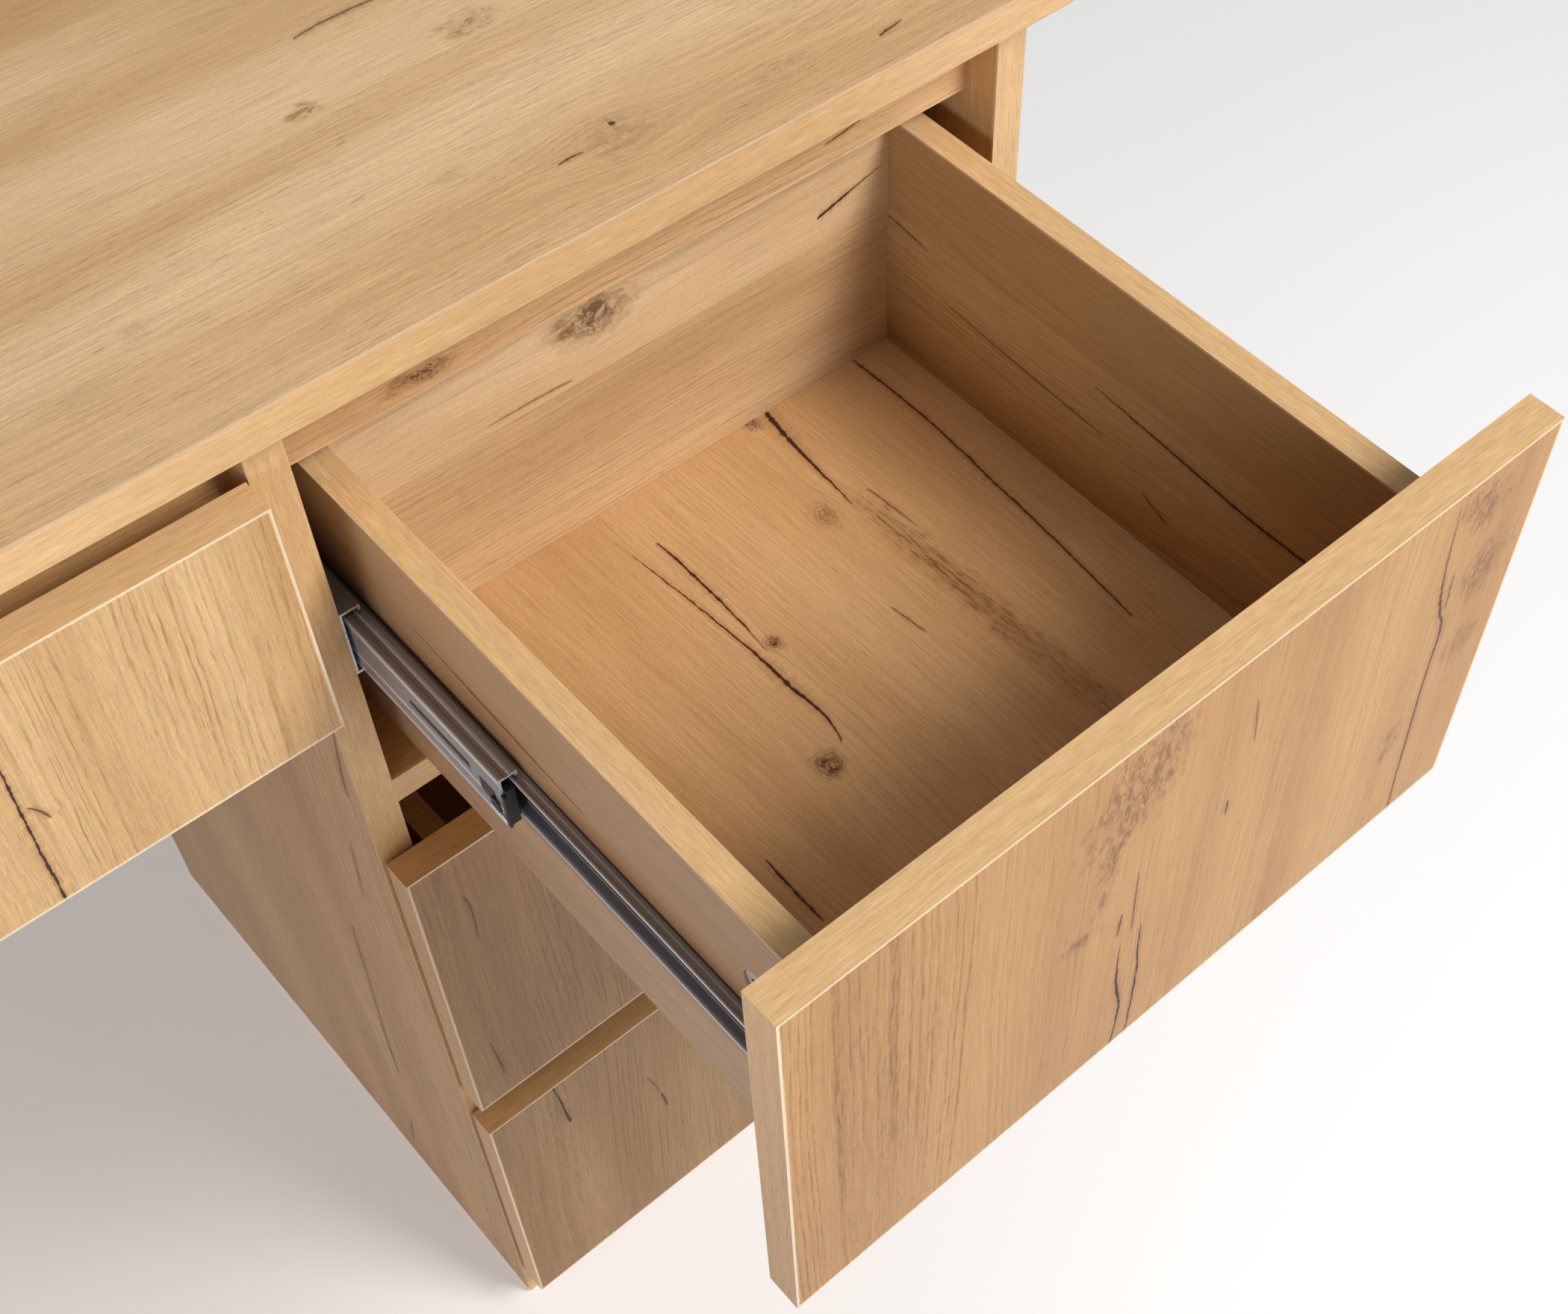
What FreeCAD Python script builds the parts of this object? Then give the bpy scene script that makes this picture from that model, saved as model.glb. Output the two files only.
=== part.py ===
import FreeCAD, Part
import os

# L-shaped corner desk. The main wing runs along X with a pedestal of three drawers at its
# right end and a wide shallow drawer over the knee space; the return wing comes forward (-Y)
# at the left end. All four drawers run on ball-bearing slides. The top drawer is partly open.
# Working frame: x = 0 is the pedestal's left face, y = 0 the front edges of the panels,
# z = 0 the undersides of the panels. Everything is moved to the row's frame when written.

# Boards, in millimetres.
board = 15.0
thin_board = 12.0
hardboard = 3.0
panel_height = 745.0
panel_depth = 385.0
front_overhang = 19.0
side_overhang = 20.0

# Widths of the bays between the upright panels, and the desktops.
pedestal_inside = 320.0
knee_inside = 600.0
corner_inside = 480.0
main_top_depth = 500.0
return_top_length = 650.0

# Drawer fronts, which lie over the panel edges.
front_gap_behind = 2.0
front_side_gap = 1.0
knee_front_side_gap = 1.5
top_finger_gap = 27.0
finger_gap = 26.0
front_height = 211.0
knee_front_height = 120.0

# Drawer boxes.
box_side_length = 300.0
box_side_height = 140.0
knee_box_side_height = 67.0
box_above_front_foot = 34.0
knee_box_above_front_foot = 16.0
bottom_top_above_side_foot = 16.0
groove_depth = 5.0
groove_clearance = 0.2
top_drawer_open = 250.0

# Ball-bearing slides. Depths are measured from the wall that carries the slide.
slide_depth = 13.0
slide_axis_above_side_foot = 73.0
knee_slide_axis_above_side_foot = 33.5
wall_screws_at = (20.0, 262.0)
drawer_screws_at = (175.0, 280.0)
outer_start = 1.0
outer_length = 300.0
middle_start = 32.0
middle_length = 262.0
inner_length = 298.0
sheet = 1.2
outer_half_height = 17.5
outer_reach = 9.0
outer_lip = 14.6
middle_web_at = 2.2
middle_half_height = 13.5
middle_reach = 10.2
middle_lip = 10.9
inner_half_height = 10.0
inner_tip_at = 7.5
inner_lip = 0.5
inner_corner = 2.0
race_depth = 0.5
race_slope = 0.8
inner_race_slope = 0.6
first_race_shoulder = 2.4
last_race_shoulder = 1.8
rib_height = 0.9
rib_foot = 2.4
rib_crest = 1.8

# Openings in the middle member's web and the plastic latch in them, from its front end.
long_slot = (19.0, 58.0, 0.2, 4.4)
latch_slot = (4.0, 14.0, -6.0, 3.0)

# The latch: its stop, the lip before the web, the lever behind and the tab in its slot.
latch_overhang = 2.0
latch_stop_end = 9.0
latch_stop_heights = (-12.3, 8.0)
latch_lip_top = 5.0
latch_lever_end = 34.0
latch_lever_heights = (-5.0, 2.0)
latch_play = 0.5
latch_lever_clearance = 1.0
latch_tab_foot = 2.0

# Rails, aprons and other stiffening boards.
rail_height = 50.0
rail_setback = 16.0
apron_height = 350.0
stretcher_foot = 512.0
stretcher_depth = 80.0
pedestal_floor_foot = 36.0
back_sheet_front = 368.0
back_sheet_play = 1.0

# Cam locks, dowels and screws.
cam_radius = 7.5
cam_depth = 12.5
thin_cam_depth = 9.5
cam_sunk = 0.8
cam_cross_length = 9.0
cam_cross_width = 1.8
cam_cross_depth = 2.0
cam_setback = 34.0
box_cam_setback = 30.0
box_cams_above_side_foot = (37.0, 103.0)
knee_box_cams_above_side_foot = (56.0,)
panel_cams_at = (60.0, 300.0)
panel_dowels_at = (110.0, 250.0)
rail_cams_at = (15.0,)
rail_dowels_at = (38.0,)
stretcher_cams_at = (50.0,)
stretcher_dowels_at = (20.0,)
knee_apron_cams_at = (50.0, 300.0)
knee_apron_dowels_at = (120.0, 230.0)
corner_apron_cams_at = (80.0, 270.0)
corner_apron_dowels_at = (150.0, 200.0)
side_apron_cams_at = (50.0, 270.0)
side_apron_dowels_at = (120.0, 200.0)
side_apron_first_lock = 130.0
bolt_radius = 3.0
bolt_bite = 7.0
dowel_radius = 4.0
dowel_in_edge = 22.0
fitting_clearance = 0.3
screw_radius = 1.75
screw_head_radius = 3.0
back_screw_length = 40.0
plate_screw_length = 12.0
plate_screw_head = 1.5
wall_screw_head = 0.8
drawer_screw_head = 1.2
back_screw_head = 2.0
wall_screw_length = 11.0
drawer_screw_length = 10.0

# Foot glides and the plates under the joint of the two desktops.
glide_radius = 7.0
glide_height = 3.0
glide_pin_radius = 1.0
glide_pin_length = 12.0
glide_inset = 30.0
plate_length = 80.0
plate_width = 40.0
plate_thickness = 2.0
plate_count = 3
plate_screw_across = plate_width / 4
plate_screw_along = plate_length / 3

# Positions worked out from the sizes above.
pedestal_width = pedestal_inside + 2 * board
knee_left = -knee_inside
corner_right = knee_left - board
corner_left = corner_right - corner_inside
left_panel_outside = corner_left - board
top_right = pedestal_width + side_overhang
top_left = left_panel_outside - side_overhang
top_front = -front_overhang
top_back = top_front + main_top_depth
return_front = top_front - return_top_length
return_panel_front = return_front + side_overhang
return_panel_back = return_panel_front + board
return_right = knee_left + front_overhang
front_back_face = -front_gap_behind
front_face = front_back_face - board
rail_foot = panel_height - rail_height
apron_foot = panel_height - apron_height
apron_front = panel_depth - board

X = FreeCAD.Vector(1, 0, 0)
Y = FreeCAD.Vector(0, 1, 0)
Z = FreeCAD.Vector(0, 0, 1)

# The row's origin is the middle of the desk's footprint, on the floor.
to_row = FreeCAD.Vector(-(top_left + top_right) / 2, -(return_front + top_back) / 2, glide_height)


def block(low, high):
    """A box between two opposite corners."""
    size = [b - a for a, b in zip(low, high)]
    return Part.makeBox(size[0], size[1], size[2], FreeCAD.Vector(*low))


def rod(start, direction, radius, length):
    """A round rod from start along direction."""
    return Part.makeCylinder(radius, length, start, direction)


def cut(shape, tools):
    """The shape less all the tools."""
    return shape.cut(Part.makeCompound(tools)) if tools else shape


def bar(centre, into, long_way, short_way):
    """One arm of a cam's cross recess, from centre along into."""
    half = long_way * (cam_cross_length / 2) + short_way * (cam_cross_width / 2)
    near = centre - half
    far = centre + half + into * cam_cross_depth
    low = FreeCAD.Vector(min(near.x, far.x), min(near.y, far.y), min(near.z, far.z))
    high = FreeCAD.Vector(max(near.x, far.x), max(near.y, far.y), max(near.z, far.z))
    return block(low, high)


def cam(face, into, depth, extra):
    """A cam a little below the face, or its pocket from the face when extra is a clearance."""
    if extra:
        return rod(face, into, cam_radius + extra, depth + extra)
    top = face + into * cam_sunk
    one, other = [axis for axis in (X, Y, Z) if abs(axis.dot(into)) < 0.5]
    cross = [bar(top, into, one, other), bar(top, into, other, one)]
    return cut(rod(top, into, cam_radius, depth - cam_sunk), cross)


def upright(left):
    """A full-depth upright panel whose left face is at x = left."""
    return block((left, 0, 0), (left + board, panel_depth, panel_height))


# ---------------------------------------------------------------- boards of the frame


def desktop_main():
    """Top of the main wing."""
    return block(
        (top_left, top_front, panel_height), (top_right, top_back, panel_height + board)
    )


def desktop_return():
    """Top of the return wing, butted against the main top's front edge."""
    return block(
        (top_left, return_front, panel_height), (return_right, top_front, panel_height + board)
    )


def pedestal_partition():
    """Left wall of the pedestal, between the drawers and the knee space."""
    return upright(0)


def right_side_panel():
    """Right wall of the pedestal and right leg of the desk."""
    return upright(board + pedestal_inside)


def corner_partition():
    """Upright left of the knee space, which carries the knee drawer's left slide."""
    return upright(corner_right)


def left_end_panel():
    """Left leg of the main wing."""
    return upright(left_panel_outside)


def return_end_panel():
    """Leg across the front end of the return wing."""
    return block(
        (left_panel_outside, return_panel_front, 0), (knee_left, return_panel_back, panel_height)
    )


def knee_back_apron():
    """Board across the back of the knee space."""
    return block((knee_left, apron_front, apron_foot), (0, panel_depth, panel_height))


def corner_back_apron():
    """Board across the back of the corner bay."""
    return block((corner_left, apron_front, apron_foot), (corner_right, panel_depth, panel_height))


def return_side_apron():
    """Board along the outer side of the return wing."""
    return block((left_panel_outside, return_panel_back, apron_foot), (corner_left, 0, panel_height))


def return_rail():
    """Rail along the sitter's side of the return wing."""
    return block((corner_right, return_panel_back, rail_foot), (knee_left, 0, panel_height))


def top_rail(left, right):
    """A rail on edge under the main top, set back behind the drawer fronts."""
    return block((left, rail_setback, rail_foot), (right, rail_setback + board, panel_height))


def pedestal_top_rail():
    """Rail over the top drawer."""
    return top_rail(board, board + pedestal_inside)


def knee_top_rail():
    """Rail over the knee drawer."""
    return top_rail(knee_left, 0)


def mid_stretcher():
    """Flat stretcher between the top and the middle drawer."""
    return block(
        (board, 0, stretcher_foot),
        (board + pedestal_inside, stretcher_depth, stretcher_foot + board),
    )


def pedestal_floor():
    """Floor board of the pedestal, behind the bottom drawer's front."""
    return block(
        (board, 0, pedestal_floor_foot),
        (board + pedestal_inside, back_sheet_front - back_sheet_play, pedestal_floor_foot + board),
    )


def back_sheet_box(extra):
    """The pedestal's back sheet in its grooves, grown by extra on its faces."""
    return block(
        (board - groove_depth - extra, back_sheet_front - extra, 0),
        (
            board + pedestal_inside + groove_depth + extra,
            back_sheet_front + hardboard + extra,
            panel_height,
        ),
    )


def pedestal_back():
    """Hardboard back of the pedestal, held in grooves in its two walls."""
    return back_sheet_box(0)


# ---------------------------------------------------------------- cams, bolts and dowels


class Joint:
    """A board end held to another board by cam locks and dowels.

    corner lies on the cams' face of the holding board, in the plane where the boards meet.
    """

    def __init__(self, holder, mate, corner, toward, into, along, cams, dowels):
        self.boards = (holder, mate)
        self.corner = FreeCAD.Vector(*corner)
        self.toward = toward
        self.into = into
        self.along = along
        self.cams = cams
        self.dowels = dowels

    def cam_centre(self, at):
        return self.corner - self.toward * cam_setback + self.along * at

    def cam_locks(self, extra):
        """Cams with their bolts, or the pockets for them when extra is a clearance."""
        solids = []
        for at in self.cams:
            centre = self.cam_centre(at)
            reach = cam_radius + fitting_clearance - extra
            start = centre + self.into * (board / 2) + self.toward * reach
            solids.append(cam(centre, self.into, cam_depth, extra))
            length = cam_setback - reach + bolt_bite + extra
            solids.append(rod(start, self.toward, bolt_radius + extra, length))
        return solids

    def dowel_pins(self, extra):
        """Dowels across the joint, or the holes for them when extra is a clearance."""
        length = dowel_in_edge + bolt_bite + 2 * extra
        start = self.corner + self.into * (board / 2) - self.toward * (dowel_in_edge + extra)
        radius = dowel_radius + extra
        return [rod(start + self.along * at, self.toward, radius, length) for at in self.dowels]


def panel_top_joint(name, corner, into, along, top):
    """Two cam locks and two dowels between an upright and the desktop above it."""
    return Joint(name, top, corner, Z, into, along, panel_cams_at, panel_dowels_at)


def board_end_joints(name, low_mate, high_mate, low, high, axis, into, along, cams, dowels):
    """The joints at both ends of a board that runs along axis."""
    return [
        Joint(name, low_mate, low, -axis, into, along, cams, dowels),
        Joint(name, high_mate, high, axis, into, along, cams, dowels),
    ]


def frame_joints():
    """Every cam and dowel joint of the frame."""
    top = panel_height
    right_wall = board + pedestal_inside
    rail_back = rail_setback + board
    joints = [
        panel_top_joint("pedestal_partition", (board, 0, top), -X, Y, "desktop_main"),
        panel_top_joint("right_side_panel", (right_wall, 0, top), X, Y, "desktop_main"),
        panel_top_joint("corner_partition", (corner_right, 0, top), X, Y, "desktop_main"),
        panel_top_joint("left_end_panel", (corner_left, 0, top), -X, Y, "desktop_main"),
        panel_top_joint(
            "return_end_panel", (corner_left, return_panel_back, top), -Y, X, "desktop_return"
        ),
        panel_top_joint(
            "return_side_apron",
            (corner_left, return_front + side_apron_first_lock, top),
            -X,
            Y,
            "desktop_return",
        ),
    ]
    joints += board_end_joints(
        "pedestal_top_rail",
        "pedestal_partition",
        "right_side_panel",
        (board, rail_back, rail_foot),
        (right_wall, rail_back, rail_foot),
        X,
        -Y,
        Z,
        rail_cams_at,
        rail_dowels_at,
    )
    joints += board_end_joints(
        "knee_top_rail",
        "corner_partition",
        "pedestal_partition",
        (knee_left, rail_back, rail_foot),
        (0, rail_back, rail_foot),
        X,
        -Y,
        Z,
        rail_cams_at,
        rail_dowels_at,
    )
    joints += board_end_joints(
        "mid_stretcher",
        "pedestal_partition",
        "right_side_panel",
        (board, 0, stretcher_foot),
        (right_wall, 0, stretcher_foot),
        X,
        Z,
        Y,
        stretcher_cams_at,
        stretcher_dowels_at,
    )
    joints += board_end_joints(
        "pedestal_floor",
        "pedestal_partition",
        "right_side_panel",
        (board, 0, pedestal_floor_foot),
        (right_wall, 0, pedestal_floor_foot),
        X,
        Z,
        Y,
        panel_cams_at,
        panel_dowels_at,
    )
    joints += board_end_joints(
        "knee_back_apron",
        "corner_partition",
        "pedestal_partition",
        (knee_left, panel_depth, apron_foot),
        (0, panel_depth, apron_foot),
        X,
        -Y,
        Z,
        knee_apron_cams_at,
        knee_apron_dowels_at,
    )
    joints += board_end_joints(
        "corner_back_apron",
        "left_end_panel",
        "corner_partition",
        (corner_left, panel_depth, apron_foot),
        (corner_right, panel_depth, apron_foot),
        X,
        -Y,
        Z,
        corner_apron_cams_at,
        corner_apron_dowels_at,
    )
    joints += board_end_joints(
        "return_side_apron",
        "return_end_panel",
        "left_end_panel",
        (corner_left, return_panel_back, apron_foot),
        (corner_left, 0, apron_foot),
        Y,
        -X,
        Z,
        side_apron_cams_at,
        side_apron_dowels_at,
    )
    joints += board_end_joints(
        "return_rail",
        "return_end_panel",
        "corner_partition",
        (corner_right, return_panel_back, rail_foot),
        (corner_right, 0, rail_foot),
        Y,
        X,
        Z,
        rail_cams_at,
        rail_dowels_at,
    )
    return joints


# ---------------------------------------------------------------- feet, plates and screws


def glide_places():
    """Centres of the foot glides, on the undersides of the uprights."""
    places = []
    for left in (0, board + pedestal_inside, corner_right, left_panel_outside):
        for y in (glide_inset, panel_depth - glide_inset):
            places.append(FreeCAD.Vector(left + board / 2, y, 0))
    for x in (left_panel_outside + glide_inset, knee_left - glide_inset):
        places.append(FreeCAD.Vector(x, return_panel_front + board / 2, 0))
    return places


def glide_pins(extra):
    """Pins of the glides, or the holes for them when extra is a clearance."""
    return [
        rod(place, Z, glide_pin_radius + extra, glide_pin_length + extra) for place in glide_places()
    ]


def foot_glides():
    """Plastic nail-in glides under the uprights."""
    discs = [rod(place, -Z, glide_radius, glide_height) for place in glide_places()]
    return [disc.fuse(pin) for disc, pin in zip(discs, glide_pins(0))]


def plate_centres():
    """Centres of the joining plates, on the undersides of the two desktops."""
    pitch = (knee_left - left_panel_outside) / (plate_count + 1)
    return [
        FreeCAD.Vector(left_panel_outside + pitch * (index + 1), top_front, panel_height)
        for index in range(plate_count)
    ]


def plate_screw_places():
    """Tops of the plates where their screws go in, four to a plate."""
    places = []
    for centre in plate_centres():
        for along in (-1, 1):
            for across in (-1, 1):
                step = X * (across * plate_screw_across) + Y * (along * plate_screw_along)
                places.append(centre + step)
    return places


def plate_screws(extra):
    """Shanks of the plate screws, or the holes for them when extra is a clearance."""
    length = plate_screw_length + extra
    return [
        rod(place - Z * plate_thickness, Z, screw_radius + extra, length)
        for place in plate_screw_places()
    ]


def joining_plates():
    """Flat steel plates that hold the two desktops together from below."""
    plates = []
    for centre in plate_centres():
        low = (centre.x - plate_width / 2, centre.y - plate_length / 2, centre.z - plate_thickness)
        high = (centre.x + plate_width / 2, centre.y + plate_length / 2, centre.z)
        plates.append(cut(block(low, high), plate_screws(fitting_clearance)))
    return plates


def headed_screw(seat, inward, head, length, extra):
    """A pan-head screw whose head stands on seat; with a clearance it is only the hole."""
    shank = rod(seat, inward, screw_radius + extra, length + extra)
    if extra:
        return shank
    return shank.fuse(rod(seat, -inward, screw_head_radius, head))


# ---------------------------------------------------------------- ball-bearing slides


def member(points, slide, start, length):
    """A slide member: a profile of (depth from the wall, height from the axis) drawn along Y."""
    corners = [
        FreeCAD.Vector(slide.wall + slide.side * depth, start, slide.axis + height)
        for depth, height in points
    ]
    outline = Part.makePolygon(corners + corners[:1])
    return Part.Face(outline).extrude(Y * length)


def mirrored(half):
    """A closed profile from its upper half, listed from wall side to wall side."""
    return half + [(depth, -height) for depth, height in reversed(half)]


def outer_profile():
    """C-shaped channel fixed to the wall."""
    half = [
        (0, outer_half_height),
        (outer_reach, outer_half_height),
        (outer_reach, outer_lip),
        (outer_reach - sheet, outer_lip),
        (outer_reach - sheet, outer_half_height - sheet),
        (sheet, outer_half_height - sheet),
    ]
    return [(0, -outer_half_height)] + half + [(d, -h) for d, h in reversed(half[1:])]


def middle_profile():
    """Channel that telescopes between the other two, with ball races in its flanges."""
    first = middle_web_at + first_race_shoulder
    last = middle_reach - last_race_shoulder
    top = middle_half_height
    half = [
        (middle_web_at, top),
        (first, top),
        (first + race_slope, top - race_depth),
        (last - race_slope, top - race_depth),
        (last, top),
        (middle_reach, top),
        (middle_reach, middle_lip),
        (middle_reach - sheet, middle_lip),
        (middle_reach - sheet, top - sheet),
        (middle_web_at + sheet, top - sheet),
    ]
    return mirrored(half)


def inner_profile():
    """Narrow channel fixed to the drawer side, with a pressed rib along its web."""
    web = slide_depth - sheet
    top = inner_half_height
    half = [
        (slide_depth, top),
        (slide_depth - inner_corner, top),
        (slide_depth - inner_corner - inner_race_slope, top - race_depth),
        (inner_tip_at + inner_lip + inner_race_slope, top - race_depth),
        (inner_tip_at + inner_lip, top),
        (inner_tip_at, top),
        (inner_tip_at, top - sheet),
        (web, top - sheet),
        (web, rib_foot),
        (web - rib_height, rib_crest),
    ]
    return mirrored(half)


class Slide:
    """One slide: the wall's x, the side of the wall it stands on, its height and screws."""

    def __init__(self, wall, side, axis):
        self.wall = wall
        self.side = side
        self.axis = axis
        self.out = X * side

    def at(self, depth, y, height):
        return FreeCAD.Vector(self.wall + self.side * depth, y, self.axis + height)

    def span(self, depths, ys, heights):
        """A box given by its range of depths, y and heights in the slide's own terms."""
        xs = sorted(self.wall + self.side * depth for depth in depths)
        return block(
            (xs[0], ys[0], self.axis + heights[0]), (xs[1], ys[1], self.axis + heights[1])
        )

    def wall_screws(self, extra):
        """Screws that hold the outer member to the wall."""
        return [
            headed_screw(self.at(sheet, y, 0), -self.out, wall_screw_head, wall_screw_length, extra)
            for y in wall_screws_at
        ]

    def drawer_screws(self, extra):
        """Screws that hold the inner member to the drawer side."""
        seat = slide_depth - sheet - rib_height
        return [
            headed_screw(self.at(seat, y, 0), self.out, drawer_screw_head, drawer_screw_length, extra)
            for y in drawer_screws_at
        ]

    def outer(self):
        """Outer member, fixed to the wall."""
        rail = member(outer_profile(), self, outer_start, outer_length)
        return cut(rail, self.wall_screws(fitting_clearance))

    def middle(self):
        """Middle member, with the slots in its web."""
        rail = member(middle_profile(), self, middle_start, middle_length)
        through = (middle_web_at - sheet, middle_web_at + sheet * 2)
        slots = []
        for first, last, low, high in (long_slot, latch_slot):
            ys = (middle_start + first, middle_start + last)
            slots.append(self.span(through, ys, (low, high)))
        return cut(rail, slots)

    def inner(self):
        """Inner member, fixed to the drawer side."""
        rail = member(inner_profile(), self, 0, inner_length)
        return cut(rail, self.drawer_screws(fitting_clearance))

    def latch(self):
        """Plastic end stop in the middle member's mouth, with the lever of its release."""
        inside = middle_web_at + sheet
        tip = inner_tip_at - latch_play
        front = middle_start
        mouth = front - latch_overhang
        stop_end = front + latch_stop_end
        lever_tip = tip - latch_lever_clearance
        stop = self.span((inside, tip), (mouth, stop_end), latch_stop_heights)
        lip = self.span((middle_web_at, inside), (mouth, front), (-middle_half_height, latch_lip_top))
        lever = self.span(
            (inside, lever_tip), (stop_end, front + latch_lever_end), latch_lever_heights
        )
        first, last, low, high = latch_slot
        tab = self.span(
            (middle_web_at, inside),
            (front + first + latch_play, front + last - latch_play),
            (low + latch_tab_foot, high - latch_play),
        )
        return stop.fuse([lip, lever, tab])


# ---------------------------------------------------------------- drawers


class Drawer:
    """A drawer in a bay: where its walls are, how high its front and its box are."""

    def __init__(self, name, bay, front_x, front_z, foot, height, axis, cam_heights, opened):
        self.name = name
        self.left, self.right = bay
        self.front_x = front_x
        self.front_z = front_z
        self.foot = foot
        self.height = height
        self.cam_heights = cam_heights
        self.opened = opened
        self.slides = [Slide(self.left, 1, foot + axis), Slide(self.right, -1, foot + axis)]
        self.box_left = self.left + slide_depth
        self.box_right = self.right - slide_depth
        self.box_back = front_back_face + box_side_length
        self.floor_top = foot + bottom_top_above_side_foot

    def front(self):
        """Front panel, lying over the edges of the cabinet."""
        low = (self.front_x[0], front_face, self.front_z[0])
        high = (self.front_x[1], front_back_face, self.front_z[1])
        return cut(block(low, high), [self.bottom_box(groove_clearance)] + self.bolts(fitting_clearance))

    def side(self, left):
        """One side of the box, whose left face is at x = left."""
        low = (left, front_back_face, self.foot)
        high = (left + thin_board, self.box_back, self.foot + self.height)
        tools = [self.bottom_box(groove_clearance)]
        tools += self.cams(fitting_clearance) + self.bolts(fitting_clearance)
        tools += self.back_screws(fitting_clearance) + self.slide_screws(fitting_clearance)
        return cut(block(low, high), tools)

    def left_side(self):
        return self.side(self.box_left)

    def right_side(self):
        return self.side(self.box_right - thin_board)

    def back(self):
        """Back of the box, between its sides."""
        low = (self.box_left + thin_board, self.box_back - thin_board, self.foot)
        high = (self.box_right - thin_board, self.box_back, self.foot + self.height)
        tools = [self.bottom_box(groove_clearance)] + self.back_screws(fitting_clearance)
        return cut(block(low, high), tools)

    def bottom_box(self, extra):
        """The bottom sheet in its grooves, grown by extra on its faces."""
        reach = groove_depth + extra
        low = (
            self.box_left + thin_board - reach,
            front_back_face - reach,
            self.floor_top - hardboard - extra,
        )
        high = (
            self.box_right - thin_board + reach,
            self.box_back - thin_board + reach,
            self.floor_top + (extra if extra else 0),
        )
        return block(low, high)

    def bottom(self):
        """Hardboard bottom, held in grooves all round."""
        return self.bottom_box(0)

    def cam_faces(self):
        """Outer faces of the two sides, each with the direction into the board."""
        return ((self.box_left, X), (self.box_right, -X))

    def cams(self, extra):
        """Cams in the outer faces of the sides, near the front."""
        solids = []
        for face, into in self.cam_faces():
            for height in self.cam_heights:
                centre = FreeCAD.Vector(face, front_back_face + box_cam_setback, self.foot + height)
                solids.append(cam(centre, into, thin_cam_depth, extra))
        return solids

    def bolts(self, extra):
        """Bolts that run from the front into the cams."""
        reach = cam_radius + fitting_clearance - extra
        length = box_cam_setback - reach + bolt_bite + extra
        solids = []
        for face, into in self.cam_faces():
            for height in self.cam_heights:
                end = FreeCAD.Vector(
                    face, front_back_face + box_cam_setback - reach, self.foot + height
                )
                solids.append(rod(end + into * (thin_board / 2), -Y, bolt_radius + extra, length))
        return solids

    def back_screws(self, extra):
        """Countersunk screws through the sides into the ends of the back."""
        solids = []
        for face, into in self.cam_faces():
            for height in self.cam_heights:
                place = FreeCAD.Vector(face, self.box_back - thin_board / 2, self.foot + height)
                head = rod(place, into, screw_head_radius + extra, back_screw_head + extra)
                shank = rod(place, into, screw_radius + extra, back_screw_length + extra)
                solids.append(head.fuse(shank))
        return solids

    def slide_screws(self, extra):
        """Screws of both inner members."""
        return [screw for slide in self.slides for screw in slide.drawer_screws(extra)]

    def fixings(self):
        """All the metal fixings that travel with the drawer."""
        return self.cams(0) + self.bolts(0) + self.back_screws(0) + self.slide_screws(0)


def pedestal_drawer(name, row, opened):
    """A pedestal drawer; row counts down from the top."""
    front_top = panel_height - top_finger_gap - row * (front_height + finger_gap)
    front_foot = front_top - front_height
    return Drawer(
        name,
        (board, board + pedestal_inside),
        (front_side_gap, pedestal_width - front_side_gap),
        (front_foot, front_top),
        front_foot + box_above_front_foot,
        box_side_height,
        slide_axis_above_side_foot,
        box_cams_above_side_foot,
        opened,
    )


def knee_drawer():
    """The wide shallow drawer over the knee space."""
    front_top = panel_height - top_finger_gap
    front_foot = front_top - knee_front_height
    return Drawer(
        "knee_drawer",
        (knee_left, 0),
        (knee_left + knee_front_side_gap, -knee_front_side_gap),
        (front_foot, front_top),
        front_foot + knee_box_above_front_foot,
        knee_box_side_height,
        knee_slide_axis_above_side_foot,
        knee_box_cams_above_side_foot,
        0,
    )


def all_drawers():
    """The four drawers; only the top one is open."""
    return [
        pedestal_drawer("top_drawer", 0, top_drawer_open),
        pedestal_drawer("middle_drawer", 1, 0),
        pedestal_drawer("bottom_drawer", 2, 0),
        knee_drawer(),
    ]


# ---------------------------------------------------------------- writing the parts


def write_part(name, solids, shift):
    """Write one part, of one or more solids, moved by shift and into the row's frame."""
    shape = solids[0] if len(solids) == 1 else Part.makeCompound(solids)
    shape = shape.copy()
    shape.translate(to_row + shift)
    shape.exportStep("parts/" + name + ".step")


def frame_boards():
    """The frame's boards by name, before their pockets are cut."""
    makers = (
        desktop_main,
        desktop_return,
        pedestal_partition,
        right_side_panel,
        corner_partition,
        left_end_panel,
        return_end_panel,
        knee_back_apron,
        corner_back_apron,
        return_side_apron,
        return_rail,
        pedestal_top_rail,
        knee_top_rail,
        mid_stretcher,
        pedestal_floor,
        pedestal_back,
    )
    return {maker.__name__: maker() for maker in makers}


def wall_of(slide):
    """Name of the upright that carries a slide."""
    names = {
        board: "pedestal_partition",
        board + pedestal_inside: "right_side_panel",
        0: "pedestal_partition",
        knee_left: "corner_partition",
    }
    return names[slide.wall]


def frame_tools(name, joints, slides):
    """Everything that is cut out of one of the frame's boards."""
    tools = []
    for joint in joints:
        if name in joint.boards:
            tools += joint.cam_locks(fitting_clearance) + joint.dowel_pins(fitting_clearance)
    for slide in slides:
        if name == wall_of(slide):
            tools += slide.wall_screws(fitting_clearance)
    if name in ("pedestal_partition", "right_side_panel"):
        tools.append(back_sheet_box(groove_clearance))
    if name in ("desktop_main", "desktop_return"):
        tools += plate_screws(fitting_clearance)
    return tools + glide_pins(fitting_clearance)


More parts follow.
